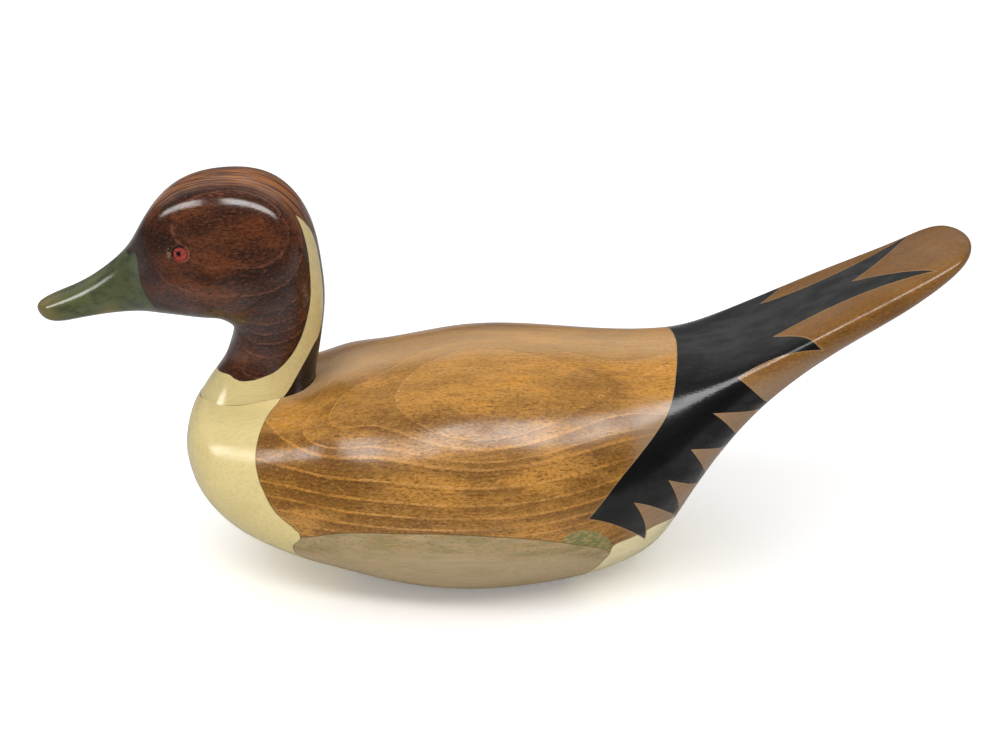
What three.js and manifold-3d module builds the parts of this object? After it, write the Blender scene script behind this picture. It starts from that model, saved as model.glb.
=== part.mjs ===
// A carved wooden pintail decoy in millimetres. +Z is up, the bill points to -X and the
// tail to +X. The underside rests on Z = 0, and the origin is under the middle of its length.
//
// The body and its upswept tail are one block. The head, bill and neck are a second block,
// whose foot is let into the body's shoulder. A red glass eye sits in a socket in each cheek.

import * as THREE from 'three';
import { mergeVertices } from 'three/addons/utils/BufferGeometryUtils.js';
import Module from 'manifold-3d';

const wasm = await Module();
wasm.setup();

// Driving dimensions. The length runs from the bill tip to the tail tip.
const HALF_LENGTH = 223;
const HALF_WIDTH = 75;
const BREAST_FRONT = -156;
const CROWN_HEIGHT = 207.2;
const BILL_TIP_HEIGHT = 140.5;
const TAIL_TIP_HEIGHT = 174.5;

// The seam plane between neck and shoulder, at the front and at the back of the neck.
const SEAT = { front: [-148.0, 94.5], back: [-91.5, 99.0] };

// Clearance where one piece sits in another.
const GAP = 0.3;

// How finely the blocks are faceted.
const BODY_FACETS = { along: 50, around: 44 };
const HEAD_FACETS = { along: 48, around: 36 };
const FOOT_STEPS = 4;

// Points nearer than this are the same point.
const TOLERANCE = 1e-5;

// One rib of a block: a closed section in the plane through its outer and inner points,
// which lie on the centre line. half is its half width. lean moves the widest place
// towards the outer point, and square fills out the section's corners at each end.
function rib(outer, inner, half, lean, squareOuter, squareInner) {
  return { numbers: [...outer, ...inner, half, lean, squareOuter, squareInner] };
}

// A rib that stands upright at x, from the keel to the top of the back.
function uprightRib(x, top, keel, half, lean, squareTop, squareKeel) {
  return rib([x, top], [x, keel], half, lean, squareTop, squareKeel);
}

// A rib shrunk to a point, where a block ends round.
function roundEnd(x, z) {
  return rib([x, z], [x, z], 0, 0, 0, 0);
}

// The body from the breast to the tail tip. The keel of the middle ribs lies below the
// ground, where the block is planed flat.
const BODY_RIBS = [
  roundEnd(BREAST_FRONT, 68.0),
  uprightRib(-152.5, 86.5, 55.5, 20.5, 0.0, 0.0, 0.0),
  uprightRib(-144.5, 97.0, 43.0, 38.5, 0.0, 0.01, 0.0),
  uprightRib(-127.5, 99.0, 27.0, 52.5, 0.0, 0.03, -0.01),
  uprightRib(-109.5, 100.2, 18.5, 60.5, -0.02, 0.05, -0.015),
  uprightRib(-91.5, 102.5, 13.0, 66.0, -0.04, 0.07, -0.015),
  uprightRib(-77.5, 109.4, 8.0, 69.5, -0.04, 0.045, -0.015),
  uprightRib(-59.5, 114.6, 1.8, 72.5, -0.04, 0.02, -0.015),
  uprightRib(-17.5, 122.4, -5.4, HALF_WIDTH, -0.04, 0.02, -0.015),
  uprightRib(22.5, 123.6, -3.4, 71.5, -0.02, 0.01, -0.015),
  uprightRib(60.5, 122.2, 5.0, 60.5, 0.04, 0.01, -0.01),
  uprightRib(78.5, 122.3, 15.5, 53.0, 0.1, 0.02, -0.01),
  uprightRib(92.5, 122.8, 37.2, 46.4, 0.16, 0.04, -0.01),
  uprightRib(126.5, 131.8, 92.0, 38.0, 0.2, 0.1, -0.01),
  uprightRib(164.5, 150.6, 125.0, 33.2, 0.2, 0.095, -0.01),
  uprightRib(198.5, 168.0, 147.6, 28.2, 0.2, 0.08, -0.01),
  uprightRib(214.5, 176.0, 162.6, 23.2, 0.16, 0.06, -0.01),
  roundEnd(HALF_LENGTH, TAIL_TIP_HEIGHT),
];

// The head from the bill tip, over the crown and round the nape to the foot of the neck.
// The outer points follow the bill's ridge, the crown and the nape, and the inner points
// follow the underside of the bill, the jaw, the throat and the front of the neck.
const HEAD_RIBS = [
  roundEnd(-HALF_LENGTH, BILL_TIP_HEIGHT),
  rib([-219.0, 144.8], [-218.5, 135.2], 7.5, 0.0, 0.02, 0.02),
  rib([-203.5, 151.8], [-204.5, 135.2], 10.0, -0.1, 0.02, 0.02),
  rib([-187.5, 161.8], [-187.5, 138.2], 11.0, -0.16, 0.025, 0.02),
  rib([-176.0, 172.6], [-173.5, 139.6], 13.5, -0.16, 0.06, 0.025),
  rib([-166.0, 188.0], [-162.5, 139.4], 19.0, -0.12, 0.09, 0.03),
  rib([-151.5, 201.6], [-151.5, 138.4], 24.0, -0.08, 0.09, 0.03),
  rib([-128.7, CROWN_HEIGHT], [-141.0, 137.3], 27.0, -0.04, 0.09, 0.03),
  rib([-105.6, 202.4], [-134.0, 136.6], 27.0, 0.0, 0.09, 0.03),
  rib([-90.3, 185.7], [-130.0, 134.4], 25.5, 0.0, 0.055, 0.025),
  rib([-85.0, 163.0], [-128.7, 130.2], 22.0, 0.0, 0.02, 0.02),
  rib([-84.1, 145.0], [-131.7, 120.5], 19.0, 0.0, 0.02, 0.01),
  rib([-86.5, 126.0], [-136.1, 112.0], 17.5, 0.0, 0.01, 0.01),
  rib([-89.5, 110.5], [-143.5, 101.8], 18.3, -0.1, 0.03, 0.0),
  rib(SEAT.back, SEAT.front, 21.0, -0.18, 0.05, 0.0),
];

// The eyes. Each is on the cheek between two ribs, and looks straight out from it.
const EYE = {
  ribBefore: 6,
  shareToNext: 0.31,
  angle: (82.5 / 180) * Math.PI,
  radius: 3.5,
  depth: 2.7,
  rim: 0.4,
  dome: 0.9,
  domeSteps: 5,
  segments: 24,
};
const SOCKET_DEPTH = EYE.depth + GAP;

// How many ribs are mirrored past a round end, so that the curve runs round it smoothly.
const MIRRORED_RIBS = 4;

// Solves a square set of linear equations for several right-hand sides at once.
function solve(matrix, right) {
  const a = matrix.map((row, i) => [...row, ...right[i]]);
  const n = a.length;
  for (let i = 0; i < n; i += 1) {
    for (let k = i + 1; k < n; k += 1) {
      const f = a[k][i] / a[i][i];
      if (f !== 0) for (let j = i; j < a[k].length; j += 1) a[k][j] -= f * a[i][j];
    }
  }
  for (let i = n - 1; i >= 0; i -= 1) {
    for (let j = n; j < a[i].length; j += 1) {
      for (let k = i + 1; k < n; k += 1) a[i][j] -= a[i][k] * a[k][j];
      a[i][j] /= a[i][i];
    }
  }
  return a.map((row) => row.slice(n));
}

// The cubic spline through rows of numbers at their knots, straight at both ends.
function splineThrough(knots, rows) {
  const n = knots.length;
  const step = (i) => knots[i + 1] - knots[i];
  const matrix = knots.map((_, i) => knots.map((__, j) => (i === j ? 1 : 0)));
  const right = rows.map((row) => row.map(() => 0));
  for (let i = 1; i < n - 1; i += 1) {
    matrix[i][i - 1] = step(i - 1);
    matrix[i][i] = 2 * (step(i - 1) + step(i));
    matrix[i][i + 1] = step(i);
    right[i] = rows[i].map((v, c) => {
      const after = (rows[i + 1][c] - v) / step(i);
      const before = (v - rows[i - 1][c]) / step(i - 1);
      return 6 * (after - before);
    });
  }
  const bend = solve(matrix, right);
  return (at) => {
    let i = 0;
    while (i < n - 2 && at > knots[i + 1]) i += 1;
    const h = step(i);
    const a = (knots[i + 1] - at) / h;
    const b = (at - knots[i]) / h;
    return rows[i].map((v, c) => {
      const curve = (a ** 3 - a) * bend[i][c] + (b ** 3 - b) * bend[i + 1][c];
      return a * v + b * rows[i + 1][c] + (curve * h * h) / 6;
    });
  };
}

// The same rib seen from the other side of a round end.
function mirrored([outerX, outerZ, innerX, innerZ, half, ...shape]) {
  return [innerX, innerZ, outerX, outerZ, -half, ...shape];
}

// How far one rib is from the next, counting what its middle and its size change by.
function ribDistance(from, to) {
  const middle = (r) => [(r[0] + r[2]) / 2, (r[1] + r[3]) / 2];
  const tall = (r) => Math.hypot(r[0] - r[2], r[1] - r[3]) / 2;
  const [x0, z0] = middle(from);
  const [x1, z1] = middle(to);
  return Math.hypot(x1 - x0, z1 - z0, to[4] - from[4], tall(to) - tall(from));
}

// The smooth skin through a row of ribs, whose first rib is a point where the skin closes
// round. roundTip says that the last rib is such a point too.
function skinThrough(ribs, roundTip) {
  const rows = ribs.map((r) => r.numbers);
  const knots = [0];
  for (let i = 1; i < rows.length; i += 1) {
    knots.push(knots[i - 1] + ribDistance(rows[i - 1], rows[i]));
  }
  const last = rows.length - 1;
  const length = knots[last];
  const allKnots = [...knots];
  const allRows = [...rows];
  for (let i = 1; i <= MIRRORED_RIBS; i += 1) {
    allKnots.unshift(-knots[i]);
    allRows.unshift(mirrored(rows[i]));
    if (roundTip) {
      allKnots.push(2 * length - knots[last - i]);
      allRows.push(mirrored(rows[last - i]));
    }
  }
  return { length, knots, ribAt: splineThrough(allKnots, allRows) };
}

// A point on a rib at an angle from its outer point, with the rib grown all round.
function pointOnRib(numbers, angle, growth = 0) {
  const [outerX, outerZ, innerX, innerZ, half, lean, squareOuter, squareInner] = numbers;
  const c = Math.cos(angle);
  const square = (squareOuter + squareInner) / 2 + ((squareOuter - squareInner) / 2) * c;
  const across = (Math.sin(angle) + square * Math.sin(3 * angle)) / (1 - square);
  const along = (c - square * Math.cos(3 * angle)) / (1 - square);
  const tall = Math.hypot(outerX - innerX, outerZ - innerZ);
  const share = 0.5 + along * (0.5 + (tall > 0 ? growth / tall : 0));
  const x = innerX + (outerX - innerX) * share;
  const z = innerZ + (outerZ - innerZ) * share;
  return [x, (half + growth) * across * (1 + lean * c), z];
}

// A closed mesh over rings of points. A ring of one point is a round end, and any other
// first or last ring is closed flat round its middle.
function meshOverRings(rings) {
  const middleOf = (ring) => ring[0].map((_, c) => ring.reduce((s, p) => s + p[c], 0) / ring.length);
  const closed = [...rings];
  if (rings[0].length > 1) closed.unshift([middleOf(rings[0])]);
  if (rings.at(-1).length > 1) closed.push([middleOf(rings.at(-1))]);
  const starts = [];
  const positions = [];
  for (const ring of closed) {
    starts.push(positions.length / 3);
    for (const point of ring) positions.push(...point);
  }
  const faces = [];
  for (let i = 0; i < closed.length - 1; i += 1) {
    const around = Math.max(closed[i].length, closed[i + 1].length);
    const corner = (row, k) => starts[row] + (closed[row].length > 1 ? k % around : 0);
    for (let k = 0; k < around; k += 1) {
      if (closed[i].length > 1) faces.push(corner(i, k), corner(i + 1, k), corner(i, k + 1));
      if (closed[i + 1].length > 1) {
        faces.push(corner(i, k + 1), corner(i + 1, k), corner(i + 1, k + 1));
      }
    }
  }
  const geometry = new THREE.BufferGeometry();
  geometry.setAttribute('position', new THREE.Float32BufferAttribute(positions, 3));
  geometry.setIndex(faces);
  return geometry;
}

// Rings of points on a skin between two of its stations.
function ringsOf(skin, from, to, steps, around, growth = 0) {
  const rings = [];
  for (let i = 0; i <= steps; i += 1) {
    const at = from + ((to - from) * i) / steps;
    const numbers = skin.ribAt(at);
    const isPoint = numbers[4] < TOLERANCE;
    const count = isPoint ? 1 : around;
    const ring = [];
    for (let k = 0; k < count; k += 1) {
      ring.push(pointOnRib(numbers, (k / count) * 2 * Math.PI, growth));
    }
    rings.push(ring);
  }
  return rings;
}

// A solid for cutting and joining, from a closed three.js mesh.
function solidOf(geometry) {
  const bare = geometry.clone();
  bare.deleteAttribute('normal');
  bare.deleteAttribute('uv');
  const merged = mergeVertices(bare, TOLERANCE);
  return new wasm.Manifold(
    new wasm.Mesh({
      numProp: 3,
      vertProperties: new Float32Array(merged.attributes.position.array),
      triVerts: new Uint32Array(merged.index.array),
    }),
  );
}

// The three.js mesh data of a solid.
function geometryOf(solid) {
  const mesh = solid.getMesh();
  const geometry = new THREE.BufferGeometry();
  geometry.setAttribute('position', new THREE.Float32BufferAttribute(mesh.vertProperties, 3));
  geometry.setIndex([...mesh.triVerts]);
  geometry.computeVertexNormals();
  return geometry;
}

const bodySkin = skinThrough(BODY_RIBS, true);
const headSkin = skinThrough(HEAD_RIBS, false);

// What the plane takes off the underside, so that the decoy stands flat.
function groundBlock() {
  const deeperThanKeel = 20;
  const block = new THREE.BoxGeometry(2 * HALF_LENGTH, 2 * HALF_WIDTH, deeperThanKeel);
  block.translate(0, 0, -deeperThanKeel / 2);
  return solidOf(block);
}

// The recess in the shoulder for the foot of the neck: the neck's own lowest stretch,
// grown by the clearance on its sides and below.
function neckRecess() {
  const { knots, length } = headSkin;
  const { around } = HEAD_FACETS;
  const rings = ringsOf(headSkin, knots.at(-2), length, FOOT_STEPS, around, GAP);
  const lowest = rings.at(-1).map(([x, y, z]) => [x, y, z - GAP]);
  return solidOf(meshOverRings([...rings, lowest]));
}

function bodyGeometry() {
  const { along, around } = BODY_FACETS;
  const block = solidOf(meshOverRings(ringsOf(bodySkin, 0, bodySkin.length, along, around)));
  return geometryOf(block.subtract(groundBlock()).subtract(neckRecess()));
}

// Where an eye sits on the cheek, and the turn that carries +Y to the way it looks.
// side is 1 for the left eye, on the -Y side, and -1 for the right one.
function eyePlacement(side) {
  const { knots, ribAt } = headSkin;
  const at = knots[EYE.ribBefore] + EYE.shareToNext * (knots[EYE.ribBefore + 1] - knots[EYE.ribBefore]);
  const nudge = 0.01;
  const onCheek = (along, angle) => {
    const [x, y, z] = pointOnRib(ribAt(at + along), EYE.angle + angle);
    return new THREE.Vector3(x, -side * y, z);
  };
  const position = onCheek(0, 0);
  const lengthwise = onCheek(nudge, 0).sub(onCheek(-nudge, 0));
  const crosswise = onCheek(0, nudge).sub(onCheek(0, -nudge));
  const looks = lengthwise.cross(crosswise).multiplyScalar(-side).normalize();
  const turn = new THREE.Quaternion().setFromUnitVectors(new THREE.Vector3(0, 1, 0), looks);
  return { position, turn };
}

// The drilled socket of one eye. It reaches out past the cheek, so that the cut is clean.
function eyeSocket(side) {
  const reach = 4;
  const height = SOCKET_DEPTH + reach;
  const socket = new THREE.CylinderGeometry(EYE.radius + GAP, EYE.radius + GAP, height, EYE.segments);
  socket.translate(0, height / 2 - SOCKET_DEPTH, 0);
  const { position, turn } = eyePlacement(side);
  socket.applyQuaternion(turn);
  socket.translate(position.x, position.y, position.z);
  return solidOf(socket);
}

function headGeometry() {
  const { along, around } = HEAD_FACETS;
  const rings = ringsOf(headSkin, 0, headSkin.length, along, around);
  const block = solidOf(meshOverRings(rings));
  return geometryOf(block.subtract(eyeSocket(1)).subtract(eyeSocket(-1)));
}

// One eye, looking along +Y: a short round stub with a domed front.
function eyeGeometry() {
  const { radius, depth, rim, dome, domeSteps, segments } = EYE;
  const profile = [new THREE.Vector2(0, -depth), new THREE.Vector2(radius, -depth)];
  for (let i = 0; i < domeSteps; i += 1) {
    const angle = (i / domeSteps) * (Math.PI / 2);
    profile.push(new THREE.Vector2(radius * Math.cos(angle), rim + (dome - rim) * Math.sin(angle)));
  }
  profile.push(new THREE.Vector2(0, dome));
  return new THREE.LatheGeometry(profile, segments);
}

const bodyWood = new THREE.MeshStandardMaterial({ color: 0x9a6e36, roughness: 0.4, metalness: 0 });
const headWood = new THREE.MeshStandardMaterial({ color: 0x482c20, roughness: 0.35, metalness: 0 });
const redGlass = new THREE.MeshStandardMaterial({ color: 0xa0342a, roughness: 0.15, metalness: 0 });

function named(name, geometry, material) {
  const mesh = new THREE.Mesh(geometry, material);
  mesh.name = name;
  return mesh;
}

const decoy = new THREE.Group();
decoy.add(named('body', bodyGeometry(), bodyWood));
decoy.add(named('head_and_neck', headGeometry(), headWood));
for (const [name, side] of [['eye_left', 1], ['eye_right', -1]]) {
  const eye = named(name, eyeGeometry(), redGlass);
  const { position, turn } = eyePlacement(side);
  eye.position.copy(position);
  eye.quaternion.copy(turn);
  decoy.add(eye);
}

export default decoy;
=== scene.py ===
"""The looks of the pintail decoy: two carved and painted blocks, two set eyes and a plain studio."""

import logging
import math
from dataclasses import dataclass, field
from enum import Enum
from functools import reduce
from typing import ClassVar, Mapping, Sequence

import bpy
import numpy as np
from mathutils import Matrix, Vector


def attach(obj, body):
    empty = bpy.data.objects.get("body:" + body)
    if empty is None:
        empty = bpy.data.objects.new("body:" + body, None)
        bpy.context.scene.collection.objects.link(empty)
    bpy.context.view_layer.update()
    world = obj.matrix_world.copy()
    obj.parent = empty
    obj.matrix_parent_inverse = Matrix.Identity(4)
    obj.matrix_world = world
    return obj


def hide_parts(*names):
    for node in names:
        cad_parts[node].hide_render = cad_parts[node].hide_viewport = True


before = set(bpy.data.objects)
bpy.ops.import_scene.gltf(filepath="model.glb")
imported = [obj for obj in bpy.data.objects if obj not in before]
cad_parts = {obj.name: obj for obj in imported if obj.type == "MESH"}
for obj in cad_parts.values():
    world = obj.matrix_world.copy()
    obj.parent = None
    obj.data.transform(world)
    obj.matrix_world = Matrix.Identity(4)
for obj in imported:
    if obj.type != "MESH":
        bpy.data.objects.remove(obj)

LOG = logging.getLogger("pintail_decoy")
MM = 0.001
PER_METRE = 1000.0
PAINT_MAP = "paint"
DISC_MAP = "disc"

# How near two places count as one, in millimetres: merged points, sawn faces and the ground.
WELD = 0.002
SAW_SLACK = 0.001
GROUND_SLACK = 0.01

# Driving sizes of the decoy, in millimetres, as in the part's source.
HALF_LENGTH = 223.0
HALF_WIDTH = 75.0
BREAST_FRONT = -156.0
CROWN_HEIGHT = 207.2
BILL_TIP_HEIGHT = 140.5
TAIL_TIP_HEIGHT = 174.5
GLUE_GAP = 0.25
SANDED_WIDTH = 0.999
SANDED_HEIGHT = 0.9998

Pair = tuple[float, float]
Triple = tuple[float, float, float]
Colour = tuple[float, float, float, float]
Piece = bpy.types.Object
Tree = bpy.types.NodeTree
Socket = bpy.types.NodeSocket
Value = Socket | float | Sequence[float]


def stain(red: int, green: int, blue: int) -> Colour:
    """Mixes a stain or paint from its colour as the eye sees it.

    Args:
        red: Red share, 0 to 255.
        green: Green share, 0 to 255.
        blue: Blue share, 0 to 255.

    Returns:
        The colour as scene-linear red, green, blue and alpha.
    """
    linear = []
    for share in (red, green, blue):
        value = share / 255
        low = value / 12.92
        high = ((value + 0.055) / 1.055) ** 2.4
        linear.append(low if value <= 0.04045 else high)
    return (linear[0], linear[1], linear[2], 1.0)


@dataclass(frozen=True)
class Rib:
    """One cross-section of a carved block, in millimetres.

    The outer point lies on the back, crown or nape and the inner point on the keel or throat.
    """

    outer: Pair
    inner: Pair
    half: float
    lean: float = 0.0
    square_outer: float = 0.0
    square_inner: float = 0.0

    def numbers(self) -> list[float]:
        """Returns the rib's eight numbers in the order in which the skin runs through them."""
        return [*self.outer, *self.inner, self.half, self.lean, self.square_outer, self.square_inner]

    def mirrored(self) -> list[float]:
        """Returns the rib as it runs on past a round end, turned over and on the other side."""
        shape = [self.lean, self.square_outer, self.square_inner]
        return [*self.inner, *self.outer, -self.half, *shape]


def upright_rib(
    x: float, top: float, keel: float, half: float, lean: float, square_top: float, square_keel: float
) -> Rib:
    """Sets out a rib that stands straight up.

    Args:
        x: Place along the decoy.
        top: Height of the back.
        keel: Height of the keel.
        half: Half of the width.
        lean: How far the widest place moves up.
        square_top: How square the back is.
        square_keel: How square the keel is.

    Returns:
        The rib.
    """
    return Rib((x, top), (x, keel), half, lean, square_top, square_keel)


def round_end(x: float, z: float) -> Rib:
    """Returns the closed rib at a round end of a block."""
    return Rib((x, z), (x, z), 0.0)


BODY_RIBS = (
    round_end(BREAST_FRONT, 68.0),
    upright_rib(-152.5, 86.5, 55.5, 20.5, 0.0, 0.0, 0.0),
    upright_rib(-144.5, 97.0, 43.0, 38.5, 0.0, 0.01, 0.0),
    upright_rib(-127.5, 99.0, 27.0, 52.5, 0.0, 0.03, -0.01),
    upright_rib(-109.5, 100.2, 18.5, 60.5, -0.02, 0.05, -0.015),
    upright_rib(-91.5, 102.5, 13.0, 66.0, -0.04, 0.07, -0.015),
    upright_rib(-77.5, 109.4, 8.0, 69.5, -0.04, 0.045, -0.015),
    upright_rib(-59.5, 114.6, 1.8, 72.5, -0.04, 0.02, -0.015),
    upright_rib(-17.5, 122.4, -5.4, HALF_WIDTH, -0.04, 0.02, -0.015),
    upright_rib(22.5, 123.6, -3.4, 71.5, -0.02, 0.01, -0.015),
    upright_rib(60.5, 122.2, 5.0, 60.5, 0.04, 0.01, -0.01),
    upright_rib(78.5, 122.3, 15.5, 53.0, 0.1, 0.02, -0.01),
    upright_rib(92.5, 122.8, 37.2, 46.4, 0.16, 0.04, -0.01),
    upright_rib(126.5, 131.8, 92.0, 38.0, 0.2, 0.1, -0.01),
    upright_rib(164.5, 150.6, 125.0, 33.2, 0.2, 0.095, -0.01),
    upright_rib(198.5, 168.0, 147.6, 28.2, 0.2, 0.08, -0.01),
    upright_rib(214.5, 176.0, 162.6, 23.2, 0.16, 0.06, -0.01),
    round_end(HALF_LENGTH, TAIL_TIP_HEIGHT),
)

HEAD_RIBS = (
    round_end(-HALF_LENGTH, BILL_TIP_HEIGHT),
    Rib((-219.0, 144.8), (-218.5, 135.2), 7.5, 0.0, 0.02, 0.02),
    Rib((-203.5, 151.8), (-204.5, 135.2), 10.0, -0.1, 0.02, 0.02),
    Rib((-187.5, 161.8), (-187.5, 138.2), 11.0, -0.16, 0.025, 0.02),
    Rib((-176.0, 172.6), (-173.5, 139.6), 13.5, -0.16, 0.06, 0.025),
    Rib((-166.0, 188.0), (-162.5, 139.4), 19.0, -0.12, 0.09, 0.03),
    Rib((-151.5, 201.6), (-151.5, 138.4), 24.0, -0.08, 0.09, 0.03),
    Rib((-128.7, CROWN_HEIGHT), (-141.0, 137.3), 27.0, -0.04, 0.09, 0.03),
    Rib((-105.6, 202.4), (-134.0, 136.6), 27.0, 0.0, 0.09, 0.03),
    Rib((-90.3, 185.7), (-130.0, 134.4), 25.5, 0.0, 0.055, 0.025),
    Rib((-85.0, 163.0), (-128.7, 130.2), 22.0, 0.0, 0.02, 0.02),
    Rib((-84.1, 145.0), (-131.7, 120.5), 19.0, 0.0, 0.02, 0.01),
    Rib((-86.5, 126.0), (-136.1, 112.0), 17.5, 0.0, 0.01, 0.01),
    Rib((-89.5, 110.5), (-143.5, 101.8), 18.3, -0.1, 0.03, 0.0),
    Rib((-91.5, 99.0), (-148.0, 94.5), 21.0, -0.18, 0.05, 0.0),
)


class Skin:
    """The smooth surface that runs through a block's ribs."""

    MIRRORED_RIBS = 4
    GIRTH_STEPS = 720

    def __init__(self, ribs: Sequence[Rib], round_tail: bool) -> None:
        """Measures the ribs and solves the curve through them.

        Args:
            ribs: The block's ribs, from a round end.
            round_tail: Whether the last rib is a round end too.
        """
        rows = np.array([rib.numbers() for rib in ribs])
        flipped = np.array([rib.mirrored() for rib in ribs])
        middle = (rows[:, 0:2] + rows[:, 2:4]) / 2
        span = np.hypot(rows[:, 0] - rows[:, 2], rows[:, 1] - rows[:, 3]) / 2
        shape = np.column_stack([middle, rows[:, 4], span])
        steps = np.sqrt((np.diff(shape, axis=0) ** 2).sum(1))
        self.stations = np.concatenate([[0.0], np.cumsum(steps)])
        self.length = float(self.stations[-1])
        count = self.MIRRORED_RIBS
        knots = [-self.stations[count:0:-1], self.stations]
        values = [flipped[count:0:-1], rows]
        if round_tail:
            knots.append(2 * self.length - self.stations[-2 : -2 - count : -1])
            values.append(flipped[-2 : -2 - count : -1])
        self.knots = np.concatenate(knots)
        self.values = np.vstack(values)
        self.gaps = np.diff(self.knots)
        self.bends = self._solve_bends()

    def _solve_bends(self) -> np.ndarray:
        """Solves the natural cubic spline.

        Returns:
            Its second derivatives at the knots.
        """
        size = len(self.knots)
        matrix = np.eye(size)
        target = np.zeros_like(self.values)
        slopes = np.diff(self.values, axis=0) / self.gaps[:, None]
        for i in range(1, size - 1):
            before, after = self.gaps[i - 1], self.gaps[i]
            matrix[i, i - 1 : i + 2] = (before, 2 * (before + after), after)
            target[i] = 6 * (slopes[i] - slopes[i - 1])
        return np.linalg.solve(matrix, target)

    def rib_numbers(self, stations: np.ndarray) -> np.ndarray:
        """Reads the eight rib numbers at any stations.

        Args:
            stations: Distances along the skin, in millimetres.

        Returns:
            One row of eight numbers for each station.
        """
        index = np.clip(np.searchsorted(self.knots, stations, "right") - 1, 0, len(self.gaps) - 1)
        gap = self.gaps[index]
        left = (self.knots[index + 1] - stations) / gap
        right = 1 - left
        straight = left[:, None] * self.values[index] + right[:, None] * self.values[index + 1]
        pull_left = ((left**3 - left) * gap**2 / 6)[:, None] * self.bends[index]
        pull_right = ((right**3 - right) * gap**2 / 6)[:, None] * self.bends[index + 1]
        return straight + pull_left + pull_right

    def points(self, stations: np.ndarray, turns: np.ndarray) -> np.ndarray:
        """Places points on the skin.

        Args:
            stations: Distances along the skin, in millimetres.
            turns: Angles round each rib from its outer point, in radians.

        Returns:
            The points in millimetres, one row each.
        """
        numbers = self.rib_numbers(stations)
        outer, inner, half = numbers[:, 0:2], numbers[:, 2:4], numbers[:, 4]
        lean, square_outer, square_inner = numbers[:, 5], numbers[:, 6], numbers[:, 7]
        cosine, sine = np.cos(turns), np.sin(turns)
        square = (square_outer + square_inner) / 2 + (square_outer - square_inner) / 2 * cosine
        across = (sine + square * np.sin(3 * turns)) / (1 - square) * (1 + lean * cosine)
        share = (1 + (cosine - square * np.cos(3 * turns)) / (1 - square)) / 2
        place = inner + (outer - inner) * share[:, None]
        return np.column_stack([place[:, 0], half * across * SANDED_WIDTH, place[:, 1] * SANDED_HEIGHT])

    def girths(self, stations: np.ndarray, turns: np.ndarray) -> np.ndarray:
        """Measures round the ribs from the outer line, the same on both sides.

        Args:
            stations: Distances along the skin, in millimetres.
            turns: Angles round each rib from its outer point, in radians.

        Returns:
            The distances round the ribs, in millimetres.
        """
        grid = np.linspace(0, np.pi, self.GIRTH_STEPS + 1)
        bare = np.abs(np.arctan2(np.sin(turns), np.cos(turns)))
        found = np.zeros(len(stations))
        levels, group = np.unique(np.round(stations, 6), return_inverse=True)
        order = np.argsort(group, kind="stable")
        bounds = np.searchsorted(group[order], np.arange(len(levels) + 1))
        for i, level in enumerate(levels):
            ring = self.points(np.full(len(grid), level), grid)
            steps = np.sqrt((np.diff(ring, axis=0) ** 2).sum(1))
            measured = np.concatenate([[0.0], np.cumsum(steps)])
            members = order[bounds[i] : bounds[i + 1]]
            found[members] = np.interp(bare[members], grid, measured)
        return found


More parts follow.
